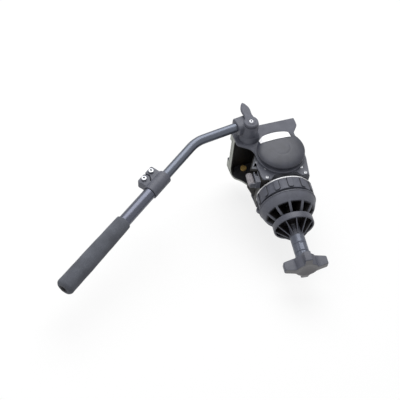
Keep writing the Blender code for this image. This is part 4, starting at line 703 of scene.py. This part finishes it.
def makeDragRing():
    low, high, radius, bore = dragRing["bottom"], dragRing["top"], dragRing["radius"], dragRing["bore"]
    bottomEdge = roundCorners([(bore, low), (radius, low), (radius, low + 3)], 0.8, closed=False)
    heights = np.concatenate([np.linspace(low + 1.0, low + 3.0, 6)[:-1],
                              np.linspace(low + 3.0, high - 1.0, 44)])
    wall = np.column_stack([np.full(len(heights), radius), heights])
    topEdge = roundCorners([(radius, high - 1.0), (radius, high), (bore, high)], 0.5, closed=False)
    profile = np.concatenate([bottomEdge[:-1], wall, topEdge[1:]])
    shell = turnedShell(profile, dragRing["tabs"] * 40, closed=True, swell=tabSwell)
    addPiece("panDragRing", [(shell, panFrame)], ringNylon, "pan_drag_dial", ["pan_drag_ring"],
             sharp=50)


def makeIndexRing():
    low, high, radius, bore = indexRing["bottom"], indexRing["top"], indexRing["radius"], indexRing["bore"]
    profile = roundCorners([(bore, low), (radius, low), (radius, high), (bore, high)], [0, 0.5, 0.5, 0])
    addPiece("brightIndexRing", [(turnedShell(profile, 144, closed=True), panFrame)], polishedRing, "pan_body",
             ["pan_index_ring"])


makeDragRing()
makeIndexRing()
print("drag ring made")


# ---- body: the covers and the core keep their solids; screws, wheel, level and lock lever are rounder

coverScrews = dict(places=((-31.4, 45.2), (30.0, 38.5), (34.1, 26.2), (-33.4, 26.2)), face=44.5, radius=3.0,
                   rise=0.5, shank=2.5, socket=1.5, depth=1.4)
lockWheel = dict(centre=(-59.4, -29.25), radius=5.8, bottom=24.4, top=46.6, flutes=10, depth=0.9)
tiltLock = dict(place=(-33.4, 26.2), hub=7.0, reach=34.0, near=51.2, thickness=8.5, heading=-8.0, rootWidth=4.2,
                tipWidth=3.5, shaft=3.0, shaftEnd=33.0)
level = dict(centre=(49.57, 35.0), radius=7.0, bottom=22.3, top=27.8, bore=5.5, drain=0.6, floor=1.9,
             armReach=7.6, armHalf=3.5, vial=5.2, crown=3.4)
hook = dict(near=43.3, thickness=1.8, edge=0.4)


# A domed head with a round socket; the shank below it is plain.
def screwProfile(radius, bottom, top, socket, depth):
    crown = roundCorners([(radius, bottom), (radius, top - 0.3), (radius - 0.8, top), (socket, top),
                          (socket, top - depth), (pole, top - depth)], [0, 0.5, 0.5, 0.2, 0.2, 0], closed=False)
    return np.concatenate([[(pole, bottom)], crown])


def makeCoverScrews():
    face = coverScrews["face"]
    profile = screwProfile(coverScrews["radius"], face - coverScrews["shank"], face + coverScrews["rise"],
                           coverScrews["socket"], coverScrews["depth"])
    near = turnedShell(profile, 40)
    for shell, name, count in ((near, "near", 4), (flipped(near), "far", 3)):
        for i, spot in enumerate(coverScrews["places"][:count]):
            place = shifted(sideFrame, spot)
            addPiece(name + "CoverScrew%d" % (i + 1), [(shell, place)], zincPlate, "pan_body",
                     [name + "_side_cover_screw_%d" % (i + 1)])


# Narrow flutes: the cube of a raised cosine cuts into the radius.
def makeLockWheel():
    def flutes(angle, radius, height):
        wave = 0.5 + 0.5 * np.cos(lockWheel["flutes"] * angle)
        return radius * (1 - lockWheel["depth"] / lockWheel["radius"] * wave ** 3), height

    shell = pinShell(lockWheel["radius"], lockWheel["bottom"], lockWheel["top"], (0.8, 0.8), 120, flutes)
    addPiece("panLockWheel", [(shell, shifted(panFrame, lockWheel["centre"]))], wheelNylon, "pan_lock",
             ["pan_lock_wheel"])


# A lever seen along its axis: a round hub and a tapering arm, with the corners rounded.
def leverOutline(hub, reach, heading, rootWidth, tipWidth, tipRound=2.0):
    out, left = direction(heading), direction(heading + 90)
    root, end = reach * out * 0.45, reach * out
    hubArc = arcPoints((0, 0), hub, heading + 48, heading + 312, 40)
    tip = roundCorners([root - left * rootWidth, end - left * tipWidth, end + left * tipWidth,
                        root + left * rootWidth], [4, tipRound, tipRound, 4], 8, closed=False)
    return np.concatenate([hubArc, tip])


def makeTiltLock():
    outline = leverOutline(tiltLock["hub"], tiltLock["reach"], tiltLock["heading"], tiltLock["rootWidth"],
                           tiltLock["tipWidth"])
    near = tiltLock["near"]
    arm = slabShell(outline, -near - tiltLock["thickness"], -near, 1.4, 5)
    shaft = pinShell(tiltLock["shaft"], -near - 2, -tiltLock["shaftEnd"], (0, 0.6))
    place = shifted(sideFrame, tiltLock["place"])
    addPiece("tiltLockLever", [(arm, place), (shaft, place)], ribbedNylon, "tilt_lock", ["tilt_lock_lever"])


def makeLevel():
    place = shifted(panFrame, level["centre"])
    low, high, bore, radius = level["bottom"], level["top"], level["bore"], level["radius"]
    floor, reach, half, vial = low + level["floor"], level["armReach"], level["armHalf"], level["vial"]
    cup = turnedShell(roundCorners([(bore, floor), (bore, high), (radius, high), (radius, low),
                                    (level["drain"], low), (level["drain"], floor)],
                                   [0, 0.4, 0.6, 0.6, 0, 0]), 64, closed=True)
    arm = slabShell([(-reach, -half), (0, -half), (0, half), (-reach, half)], low + 0.3, low + 1.5, 0.3)
    addPiece("levelHolder", [(cup, place), (arm, place)], paintedCasting, "pan_body", ["level_holder"])
    dome = roundCorners([(pole, floor + 0.2), (vial, floor + 0.2), (vial, high - 0.8),
                         (level["crown"], high - 0.3), (pole, high - 0.2)], [0, 0.4, 1.2, 1.5, 0], closed=False)
    addPiece("levelVial", [(turnedShell(dome, 48), place)], vialFluid, "pan_body", ["level_vial"])


# A hooked plate with an open slot from below, low on the rear of the near side.
def makeHook():
    outline = roundCorners([(-51.2, 55.2), (-45.4, 63.2), (-42.8, 62.8), (-42.9, 53.0), (-44.9, 52.6),
                            (-45.7, 58.4), (-47.4, 58.8), (-49.6, 54.4)],
                           [0.5, 1.2, 0.8, 0.4, 0.4, 0.6, 0.6, 0.4], 4)
    shell = slabShell(outline, hook["near"] - hook["thickness"], hook["near"], hook["edge"])
    addPiece("rearHook", [(shell, sideFrame)], hookPaint, "pan_body", ["rear_bracket"])


makeCoverScrews()
makeLockWheel()
makeTiltLock()
makeLevel()
makeHook()
print("body fittings made")


# ---- saddle: a deck with a dovetail channel between two cheeks, and a wall behind the hollow

saddle = dict(wall=4.8, top=68.8, front=52.0, rear=-66.5, deck=10.5, hub=42.5, channel=27.0, flare=2.5,
              channelDepth=6.8, edge=1.4, deckEdge=0.4, wallLow=51.0, wallCorner=10.0, wallDepth=4.5, wallSide=2.5,
              wallEdge=0.8)
cap = dict(radius=41.2, stem=37.0, rim=59.0, rimThickness=2.0, crown=66.2, badge=15.5, badgeWidth=0.8,
           badgeDepth=0.35)
label = dict(front=24.5, rear=-31.5, low=18.8, crown=(-4.0, 35.2), bow=0.0044, reach=40.6, thickness=0.5,
             lift=0.35)
nearCheek = dict(points=[(-66.8, 48.0), (-66.5, 37.3), (-62.5, 33.4), (-55.2, 28.6), (-46.8, 22.6),
                         (-42.6, 11.5)], radii=[6, 2.5, 3, 5, 6, 5])
farCheek = dict(points=[(-66.8, 48.0), (-64.8, 34.5), (-54.5, 26.8), (-47.0, 17.0), (-42.5, 6.5)],
                radii=[10, 9, 12, 9, 4])
dial = dict(radius=40.0, inner=34.0, recess=3.0, width=13.5, face=24.0, faceDepth=0.8, scallops=10, depth=2.6)


# A cheek runs from the deck's front, over its rear points, round the hub and back up a short front leg.
def cheekOutline(rear):
    nose, top = (saddle["front"], 60.0), saddle["top"]
    corners = roundCorners([nose, (saddle["front"], top), (saddle["rear"], top), *rear["points"], (-42.3, 3.7)],
                           [0, 1.5, 1.5, *rear["radii"], 0], 9, closed=False)
    hub = arcPoints((0, 0), saddle["hub"], 178, 380, 90)
    front = roundCorners([hub[-1], (39.8, 37.2), (51.4, 51.2), nose], [0, 4, 3, 0], 7, closed=False)
    return np.concatenate([corners[:-1], hub, front[1:-1]])


# The deck and the rear wall's sides have no rounded corners, so that their flat ends stay open round the channel
# and under the arch.
def makeSaddle():
    wall, top = saddle["wall"], saddle["top"] - 0.05
    shells = []
    for low, rear in ((cheekHalf - wall, nearCheek), (-cheekHalf, farCheek)):
        shells.append((slabShell(cheekOutline(rear), low, low + wall, saddle["edge"], 5), saddleFrame))
    inner, under, floor = cheekHalf - wall, saddle["top"] - saddle["deck"], top - saddle["channelDepth"]
    half, channel = inner + 0.5, saddle["channel"]
    wide = channel + saddle["flare"]
    deck = [(-half, under), (half, under), (half, top), (channel, top), (wide, floor), (-wide, floor),
            (-channel, top), (-half, top)]
    shells.append((slabShell(deck, saddle["rear"] + 0.1, saddle["front"] - 0.1, saddle["deckEdge"]), deckFrame))
    corner = saddle["wallCorner"]
    sideways, low = inner - corner, saddle["wallLow"] - corner
    side, high, start = half + saddle["wallSide"], under + 2.0, saddle["rear"] + 0.6
    arch = np.concatenate([[(-side, high), (-side, low)], arcPoints((-sideways, low), corner, 180, 90, 14),
                           arcPoints((sideways, low), corner, 90, 0, 14), [(side, low), (side, high)]])
    shells.append((slabShell(arch, start, start + saddle["wallDepth"], saddle["wallEdge"]), deckFrame))
    addPiece("saddleCasting", shells, saddlePaint, "saddle_body", ["saddle"])


# A shallow ellipse of revolution over a straight rim, with one plain ring groove where a badge would sit.
def makeHubCap():
    radius, rim, stem = cap["radius"], cap["rim"], cap["stem"]
    angle = np.radians(np.linspace(0.5, 86, 46))
    crown = np.column_stack([radius * np.sin(angle), rim + (cap["crown"] - rim) * np.cos(angle)])
    crown[:, 1] -= cap["badgeDepth"] * np.exp(-((crown[:, 0] - cap["badge"]) / cap["badgeWidth"]) ** 2)
    rimLow, bore, ceiling = rim - cap["rimThickness"], stem - 3, rim - 3
    skirt = roundCorners([crown[-1], (radius, rim - 0.3), (radius, rimLow), (stem, rimLow), (stem, fittingFace),
                          (bore, fittingFace), (bore, ceiling), (0.3, ceiling)],
                         [0, 0.3, 0.6, 0.6, 0.4, 0.4, 1, 0], closed=False)
    shell = turnedShell(np.concatenate([crown, skirt[1:]]), 144)
    addPiece("hubCap", [(shell, saddleFrame)], mouldedNylon, "saddle_body", ["near_hub_cap"])


# A band over the dome above the axis. Its upper edge is the lower of a parabola and the cap's rim; its two layers
# lie a constant lift above the dome, rim + (crown - rim) sqrt(1 - (r / R)^2).
def makeLabel():
    sideways = np.linspace(label["rear"], label["front"], 60)
    arch = label["crown"][1] - label["bow"] * (sideways - label["crown"][0]) ** 2
    upper = np.minimum(arch, np.sqrt(label["reach"] ** 2 - sideways ** 2))
    share = np.linspace(0, 1, 18)
    up = label["low"] + share[None, :] * (upper - label["low"])[:, None]
    wide = np.repeat(sideways[:, None], len(share), axis=1)
    dome = cap["rim"] + (cap["crown"] - cap["rim"]) * np.sqrt(1 - (wide ** 2 + up ** 2) / cap["radius"] ** 2)
    low = np.stack([wide, up, dome + label["lift"]], axis=-1)
    high = low + np.array([0, 0, label["thickness"]])
    points = np.concatenate([low, high[:, ::-1]], axis=1)
    addPiece("sideLabel", [(gridShell(points), saddleFrame)], labelFilm, "saddle_body", ["side_label"])


# Radial teeth: the outer face rises and falls as a triangle wave of the angle, deeper towards the rim.
def toothed(angle, radius, height):
    wave = np.abs((angle * rosette["teeth"] / (2 * math.pi)) % 1.0 - 0.5) * 2
    onFace = height > fittingFace + rosette["height"] - 0.2
    return radius, height - onFace * wave * rosette["tooth"] * np.clip(radius / rosette["tipRadius"], 0, 1)


# The near rosette is plain under the clamp block; the far one shows its teeth.
def makeRosettes():
    base, tip, bore = rosette["baseRadius"], rosette["tipRadius"], rosette["bore"]
    top = fittingFace + rosette["height"]
    profile = [(bore, fittingFace), (base, fittingFace), (base, fittingFace + rosette["flange"]), (tip, top)]
    near = turnedShell(roundCorners(profile + [(bore, top)], [0, 0.3, 1.2, 0.8, 0]), 96, closed=True)
    face = np.column_stack([np.linspace(tip - 0.5, bore, 8), np.full(8, top)])
    far = turnedShell(np.concatenate([profile, face]), rosette["teeth"] * 8, closed=True, swell=toothed)
    place = shifted(saddleFrame, rosette["place"])
    addPiece("nearRosette", [(near, place)], paintedCasting, "saddle_body", ["near_rosette"])
    addPiece("farRosette", [(flipped(far), place)], paintedCasting, "saddle_body", ["far_rosette"],
             sharp=20)


# Round scallops: the radius drops by a narrow cosine bump ten times round the dial.
def makeDragDial():
    start, radius, inner, face = fittingFace, dial["radius"], dial["inner"], dial["face"]
    floor, end = start + dial["recess"], start + dial["width"]
    sunk = end - dial["faceDepth"]
    profile = roundCorners([(pole, floor), (inner, floor), (inner, start), (radius, start), (radius, end - 2.0),
                            (radius - 3, end), (face, end), (face - 1, sunk), (pole, sunk)],
                           [0, 0.5, 0.5, 0.6, 1.5, 1.5, 0.4, 0.4, 0], closed=False)

    def scallops(angle, radius, height):
        dip = np.clip(np.cos(dial["scallops"] * angle), 0.1, 1) - 0.1
        return radius - dial["depth"] * dip * (radius > inner + 1) * (height > start + 1.5), height

    shell = flipped(turnedShell(profile, 240, swell=scallops))
    addPiece("tiltDragDial", [(shell, saddleFrame)], ribbedNylon, "tilt_drag", ["tilt_drag_dial"])


# ---- camera plate screw with its thread, plate lock and release

plate = dict(thickness=8.4, pad=1.2)
channelFloor = saddle["top"] - saddle["channelDepth"]
plateFace = channelFloor + fitGap + plate["thickness"] + fitGap + plate["pad"]
cameraScrew = dict(radius=3.1, rise=5.5, pitch=1.27, threadDepth=0.45, headRadius=8.5, headTop=3.1, centre=-7.0)
plateLock = dict(place=(20.0, 63.2), hub=6.5, reach=30.0, thickness=6.0, heading=180.0, rootWidth=3.6,
                 tipWidth=3.2, cam=4.0, camStart=52.0, camEnd=30.1)
releaseButton = dict(place=(-20.0, 63.2), radius=3.5, outer=53.0, inner=44.0)


# The radius falls along a ramp that climbs one pitch a turn.
def thread(angle, radius, height):
    ramp = np.abs(((height / cameraScrew["pitch"]) - angle / (2 * math.pi)) % 1.0 - 0.5) * 2
    onThread = (height > plateFace - 1.0) * (radius > 2.0)
    return radius - onThread * ramp * cameraScrew["threadDepth"], height


def makeCameraScrew():
    radius, head = cameraScrew["radius"], cameraScrew["headRadius"]
    floor, top = channelFloor + 2 * fitGap, plateFace + cameraScrew["rise"]
    headTop = floor + cameraScrew["headTop"]
    wall = np.column_stack([np.full(60, radius), np.linspace(top - 0.5, headTop, 60)])
    profile = np.concatenate([[(pole, top), (radius - 0.6, top)], wall, [(head, headTop), (head, floor),
                                                                         (pole, floor)]])
    shell = turnedShell(profile, 48, swell=thread)
    addPiece("cameraScrew", [(shell, shifted(deckTopFrame, (cameraScrew["centre"], 0)))], zincPlate,
             "camera_screw_body", ["camera_screw"])


def makePlateLock():
    outline = leverOutline(plateLock["hub"], plateLock["reach"], plateLock["heading"], plateLock["rootWidth"],
                           plateLock["tipWidth"])
    place = shifted(saddleFrame, plateLock["place"])
    arm = slabShell(outline, -fittingFace - plateLock["thickness"], -fittingFace, 1.2, 5)
    cam = pinShell(plateLock["cam"], -plateLock["camStart"], -plateLock["camEnd"], (0, 0.4))
    addPiece("plateLockLever", [(arm, place), (cam, place)], ribbedNylon, "plate_lock", ["plate_lock_lever"])
    button = pinShell(releaseButton["radius"], -releaseButton["outer"], -releaseButton["inner"], (0.9, 0.3))
    addPiece("plateReleaseButton", [(button, shifted(saddleFrame, releaseButton["place"]))], ribbedNylon,
             "plate_release", ["plate_release_button"])


makeSaddle()
makeHubCap()
makeLabel()
makeRosettes()
makeDragDial()
makeCameraScrew()
makePlateLock()
print("saddle made")


# ---- pan bar: clamp block, lever, bent bar, collar, outer tube and foam grip

bar = dict(plane=72.0, radius=8.25, upper=196.0, lower=225.0, offset=11.6, vertex=99.0, bend=60.0, start=-8.0,
           end=255.0)
block = dict(radius=14.0, bore=3.3, start=60.1, end=83.8, mouthHigh=13.8, mouthWide=11.4, mouthRound=8.0,
             low=-12.0, high=22.0)
lever = dict(hub=12.5, start=84.1, end=89.9, heading=98.0, reach=45.5, waist=7.0, wide=8.5, tip=3.5, rimBore=4.6,
             rimTop=6.6, rimRadius=8.2, screw=3.8, socket=1.9)
collar = dict(start=90.0, length=41.0, radius=12.3, bore=8.6, wideBore=10.8, gripLength=16.0, lugReach=27.0,
              lugHalf=8.0, slit=1.6, screwOut=20.5, screwPitch=19.0, screw=4.4, socket=2.1, shank=2.4)
grip = dict(tubeBore=8.6, tubeRadius=10.4, tubeStart=106.3, tubeEnd=338.0, bore=10.7, start=200.0, end=344.0,
            startRadius=12.6, endRadius=14.4, wave=0.07, dome=6.0, plug=6.6, nipple=3.4)


def upperPoint(distance, aside=0.0):
    return distance * direction(bar["upper"]) - (bar["offset"] + aside) * direction(bar["upper"] + 90)


vertexPoint = upperPoint(bar["vertex"])


def lowerPoint(distance, aside=0.0):
    return vertexPoint + distance * direction(bar["lower"]) - aside * direction(bar["lower"] + 90)


# A frame whose out axis runs along the bar and whose across axis points to the near side.
def barFrame(point, heading):
    toEnd = np.array([direction(heading)[0], 0, direction(heading)[1]])
    toNear = np.array([0, -1.0, 0])
    origin, turn = shifted(handleFrame, point, bar["plane"])
    return origin, np.column_stack([toNear, np.cross(toEnd, toNear), toEnd])


def makeClampBlock():
    bore, radius, start, end = block["bore"], block["radius"], block["start"], block["end"]
    boss = turnedShell(roundCorners([(bore, start), (radius + 0.8, start), (radius, start + 5), (radius, end),
                                     (bore, end)], [0, 0.6, 3, 1.4, 0]), 96, closed=True)
    wide, high = block["mouthWide"], block["mouthHigh"]
    outline = roundCorners([(-wide, -high), (wide, -high), (wide, high), (-wide, high)], block["mouthRound"], 10)
    mouth = slabShell(outline, block["low"], block["high"], 1.8, 6)
    shells = [(boss, handleFrame), (mouth, barFrame(upperPoint(0), bar["upper"]))]
    addPiece("barClampBlock", shells, paintedCasting, "handle", ["bar_clamp_block"])


# The arm is narrow at the waist, wide at two thirds of its reach and small at the tip.
def makeClampLever():
    out, left = direction(lever["heading"]), direction(lever["heading"] + 90)
    reach, end = lever["reach"], lever["end"]
    stations = [(0.36 * reach, lever["waist"], 5), (0.68 * reach, lever["wide"], 8),
                (reach - 3.5, lever["tip"], 3)]
    right = [distance * out - half * left for distance, half, corner in stations]
    leftward = [distance * out + half * left for distance, half, corner in stations]
    radii = [corner for distance, half, corner in stations]
    arm = roundCorners(right + [reach * out] + leftward[::-1], radii + [2] + radii[::-1], 8, closed=False)
    hub = arcPoints((0, 0), lever["hub"], lever["heading"] + 40, lever["heading"] + 320, 60)
    body = slabShell(np.concatenate([hub, arm]), lever["start"], end, 1.8, 6)
    rim = turnedShell(roundCorners([(lever["rimBore"], end - 1.5), (lever["rimBore"], end + 0.6),
                                    (lever["rimTop"], end + 0.6), (lever["rimRadius"], end - 0.4),
                                    (lever["rimRadius"], end - 1.5)], [0, 0.3, 0.8, 0.4, 0]), 64, closed=True)
    addPiece("clampLever", [(body, handleFrame), (rim, handleFrame)], ribbedNylon, "handle_lever",
             ["clamp_lever"])
    head = turnedShell(screwProfile(lever["screw"], end - 1.3, end + 0.9, lever["socket"], 1.4), 48)
    addPiece("leverScrew", [(head, handleFrame)], zincPlate, "handle_lever", ["lever_screw"])


# Two straight runs joined by an arc that touches both.
def makePanBar():
    turn = math.radians(bar["lower"] - bar["upper"])
    first = upperPoint(bar["vertex"] - bar["bend"] * math.tan(turn / 2))
    middle = first + bar["bend"] * direction(bar["upper"] + 90)
    bend = arcPoints(middle, bar["bend"], bar["upper"] - 90, bar["lower"] - 90, 24)
    flat = np.concatenate([[upperPoint(bar["start"]), upperPoint(40)], bend,
                           [lowerPoint(150), lowerPoint(bar["end"])]])
    path = np.column_stack([flat, np.full(len(flat), bar["plane"])])
    shell = pipeShell(path, bar["radius"], upwards, 64)
    addPiece("panBar", [(shell, handleFrame)], upperTube, "handle", ["pan_bar"])


# A ring round the tube with two square lugs beside it, parted by a slit that bends into the ring.
def makeCollar():
    start, length, radius, bore = collar["start"], collar["length"], collar["radius"], collar["bore"]
    wideBore, gripLength = collar["wideBore"], collar["gripLength"]
    reach, gap = collar["lugReach"], collar["slit"] / 2
    ring = turnedShell(roundCorners([(bore, 0), (radius, 0), (radius, length), (wideBore, length),
                                     (wideBore, gripLength), (bore, gripLength)], [0, 1.3, 1.3, 0.3, 0, 0]), 96,
                       closed=True)
    shells = [(ring, barFrame(lowerPoint(start), bar["lower"]))]
    low, high = start + 1.2, start + length - 2.4
    middle = (low + high) / 2
    slitLine = [(middle, reach), (middle - 2.0, 17.5), (middle + 3.2, 12.3), (middle + 6.4, 9.0)]
    under, face = bar["plane"] - collar["lugHalf"], bar["plane"] + collar["lugHalf"]
    for side, outerEnd in ((-1, low), (1, high)):
        edge = [lowerPoint(distance + side * gap, aside) for distance, aside in slitLine]
        outline = [lowerPoint(outerEnd, slitLine[-1][1]), lowerPoint(outerEnd, reach)] + edge
        shell = slabShell(roundCorners(outline, [0, 3.2, 3.2, 2.5, 2.5, 0], 6), under, face, 1.2, 5)
        shells.append((shell, handleFrame))
    addPiece("barCollar", shells, paintedCasting, "handle_tube", ["bar_collar"])
    head = turnedShell(screwProfile(collar["screw"], face - 0.8, face + 3.6, collar["socket"], 2.2), 48)
    shank = pinShell(collar["shank"], face - 16.2, face - 0.5, steps=32)
    for i, shift in enumerate((-collar["screwPitch"] / 2, collar["screwPitch"] / 2)):
        place = shifted(handleFrame, lowerPoint(middle + shift, collar["screwOut"]))
        addPiece("collarScrew%d" % (i + 1), [(head, place), (shank, place)], zincPlate, "handle_tube",
                 ["collar_screw_%d" % (i + 1)])


# The foam's radius grows to its end with the square root of the length. Three low sine waves of the angle and the
# height keep it from looking turned.
def makeTubeAndGrip():
    alongBar = barFrame(lowerPoint(0), bar["lower"])
    inner, outer, tubeStart, tubeEnd = grip["tubeBore"], grip["tubeRadius"], grip["tubeStart"], grip["tubeEnd"]
    tube = turnedShell(roundCorners([(inner, tubeStart), (outer, tubeStart), (outer, tubeEnd), (inner, tubeEnd)],
                                    [0, 0.4, 0.4, 0]), 72, closed=True)
    addPiece("outerTube", [(tube, alongBar)], lowerTube, "handle_tube", ["outer_tube"])
    start, end, startRadius, endRadius = grip["start"], grip["end"], grip["startRadius"], grip["endRadius"]
    bore, rounding, plug = grip["bore"], grip["dome"], grip["plug"]
    run = np.linspace(start + 2.0, end - rounding - 1.0, 70)
    share = (run - start) / (end - start)
    wall = np.column_stack([startRadius + (endRadius - startRadius) * np.sqrt(share), run])
    lip = roundCorners([(bore, start), (startRadius + 0.1, start), wall[0]], [0, 1.2, 0], closed=False)
    angle = np.radians(np.linspace(0, 90, 14))
    dome = np.column_stack([endRadius - rounding * (1 - np.cos(angle)), end - rounding * (1 - np.sin(angle))])
    mouth = [(plug + 0.6, end), (plug + 0.2, end - 1.2), (bore, end - 2.4)]

    def foamWaves(angle, radius, height):
        waves = sum(np.sin(turns * angle + rate * height) for turns, rate in ((3, 0.11), (2, -0.07), (5, 0.23)))
        return radius + grip["wave"] * waves * (radius > 11.5), height

    foam = turnedShell(np.concatenate([lip[:-1], wall, dome, mouth]), 96, closed=True, swell=foamWaves)
    pad = addPiece("foamGrip", [(foam, alongBar)], foamSkin, "handle_tube", ["foam_grip"])
    nipple = grip["nipple"]
    endCap = turnedShell(roundCorners([(pole, end + 2.2), (nipple, end + 2.2), (nipple + 0.4, end - 0.6),
                                       (plug, end - 0.6), (plug, end - 5.5), (pole, end - 5.5)],
                                      [0, 1.0, 0.4, 0.5, 0, 0], closed=False), 48)
    addPiece("gripEndCap", [(endCap, alongBar)], blackRubber, "handle_tube", ["grip_end_cap"])


makeClampBlock()
makeClampLever()
makePanBar()
makeCollar()
makeTubeAndGrip()
print("pan bar made")


# ---- the nodes that keep their solids get their finishes

keptFinishes = {
    paintedCasting: ["near_side_cover", "far_side_cover", "pan_lock_housing", "camera_plate",
                     "pan_drag_cartridge", "tilt_drag_cartridge"],
    coreCasting: ["body_housing"],
    zincPlate: ["tie_down_stud", "pan_spindle", "pan_bearing", "tilt_shaft", "near_tilt_bearing",
                "far_tilt_bearing", "counterbalance_spring", "locating_pin", "clamp_bolt", "tie_down_nut"],
    turnedBrass: ["rosette_insert"],
    padRubber: ["plate_pad"],
}
for finish, names in keptFinishes.items():
    for name in names:
        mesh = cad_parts[name].data
        mesh.materials.clear()
        mesh.materials.append(finish)
print("kept nodes finished")


# ---- camera, floor and light

cameraView = dict(place=(-0.33217, -1.02590, -0.65524), right=(0.98090, -0.05230, -0.18735),
                  up=(0.12562, -0.56503, 0.81545), lens=65.11, sensor=36.0, near=0.05, far=30.0)
floorLook = dict(normal=(0.15, -1.0, 0.15), point=(0.0, 0.095, 0.07), size=6.0, paper=0.92, shadowShare=0.22)
worldLook = dict(ambient=0.55)
# Lamps: direction from the object, distance, edge length and power.
lamps = {
    "keyPanel": dict(towards=(0.10, -1.0, 0.75), distance=1.6, size=1.4, watts=22.0),
    "fillPanel": dict(towards=(-0.9, -0.8, -0.2), distance=1.8, size=1.4, watts=5.0),
    "backPanel": dict(towards=(0.5, 1.0, 0.9), distance=2.0, size=1.6, watts=12.0),
}
white = (1, 1, 1, 1)


def makeCamera():
    data = bpy.data.cameras.new("photoCamera")
    data.lens = cameraView["lens"]
    data.sensor_width = cameraView["sensor"]
    data.clip_start, data.clip_end = cameraView["near"], cameraView["far"]
    camera = bpy.data.objects.new("photoCamera", data)
    bpy.context.scene.collection.objects.link(camera)
    right, up = np.array(cameraView["right"]), np.array(cameraView["up"])
    turn = np.eye(4)
    turn[:3, :3] = np.column_stack([right, up, np.cross(right, up)])
    turn[:3, 3] = cameraView["place"]
    camera.matrix_world = Matrix(turn.tolist())
    bpy.context.scene.camera = camera


# 1 for what the camera sees itself, in a mirror or through glass, and 0 for light that falls on the object.
def seenRays(tree):
    rays = addNode(tree, "ShaderNodeLightPath").outputs
    seen = rays["Is Camera Ray"]
    for kind in ("Is Glossy Ray", "Is Transmission Ray"):
        seen = addNode(tree, "ShaderNodeMath", {"operation": "MAXIMUM", 0: seen, 1: rays[kind]}).outputs[0]
    return seen


# White paper that takes a share of the shadows. It is seen only from its front, and only by the rays above.
def sweepPaper():
    material = bpy.data.materials.new("paleSweepPaper")
    material.use_nodes = True
    tree = material.node_tree
    tree.nodes.clear()
    shade = floorLook["paper"]
    paper = addNode(tree, "ShaderNodeBsdfDiffuse", {"Color": (shade, shade, shade, 1)}).outputs[0]
    glow = addNode(tree, "ShaderNodeEmission", {"Color": white, "Strength": 1.0}).outputs[0]
    evenShare = 1.0 - floorLook["shadowShare"]
    lit = addNode(tree, "ShaderNodeMixShader", {0: evenShare, 1: paper, 2: glow}).outputs[0]
    clear = addNode(tree, "ShaderNodeBsdfTransparent").outputs[0]
    behind = addNode(tree, "ShaderNodeNewGeometry").outputs["Backfacing"]
    front = addNode(tree, "ShaderNodeMath", {"operation": "SUBTRACT", 0: 1.0, 1: behind}).outputs[0]
    seen = both(tree, seenRays(tree), front)
    whole = addNode(tree, "ShaderNodeMixShader", {0: seen, 1: clear, 2: lit}).outputs[0]
    addNode(tree, "ShaderNodeOutputMaterial", {"Surface": whole})
    return material


# The object lies on its far side, so the floor is a slanted plane behind it.
def makeFloor():
    normal = np.array(floorLook["normal"])
    normal /= np.linalg.norm(normal)
    side = np.cross(normal, upwards)
    side /= np.linalg.norm(side)
    rise = np.cross(side, normal)
    point, half = np.array(floorLook["point"]), floorLook["size"] / 2
    corners = [point + half * (a * side + b * rise) for a, b in ((-1, -1), (-1, 1), (1, 1), (1, -1))]
    if np.dot(np.cross(corners[1] - corners[0], corners[2] - corners[0]), normal) < 0:
        corners.reverse()
    mesh = bpy.data.meshes.new("paleFloor")
    mesh.from_pydata([tuple(c) for c in corners], [], [(0, 1, 2, 3)])
    mesh.materials.append(sweepPaper())
    floor = bpy.data.objects.new("paleFloor", mesh)
    bpy.context.scene.collection.objects.link(floor)


# White to the camera, to mirrors and to glass; a softer level as light.
def makeWorld():
    world = bpy.data.worlds.new("studio")
    world.use_nodes = True
    tree = world.node_tree
    tree.nodes.clear()
    strength = addNode(tree, "ShaderNodeMapRange", {"To Min": worldLook["ambient"], "To Max": 1.0,
                                                    "Value": seenRays(tree)}).outputs["Result"]
    sky = addNode(tree, "ShaderNodeBackground", {"Color": white, "Strength": strength}).outputs[0]
    addNode(tree, "ShaderNodeOutputWorld", {"Surface": sky})
    bpy.context.scene.world = world


def makeLamps():
    for name, look in lamps.items():
        data = bpy.data.lights.new(name, "AREA")
        data.shape = "SQUARE"
        data.size = look["size"]
        data.energy = look["watts"]
        towards = np.array(look["towards"]) / np.linalg.norm(look["towards"])
        lamp = bpy.data.objects.new(name, data)
        lamp.location = towards * look["distance"]
        lamp.rotation_mode = "QUATERNION"
        lamp.rotation_quaternion = Vector(towards).to_track_quat("Z", "Y")
        bpy.context.scene.collection.objects.link(lamp)


makeCamera()
makeFloor()
makeWorld()
makeLamps()
bpy.context.scene.view_settings.view_transform = "Standard"
print("camera, floor and light made")
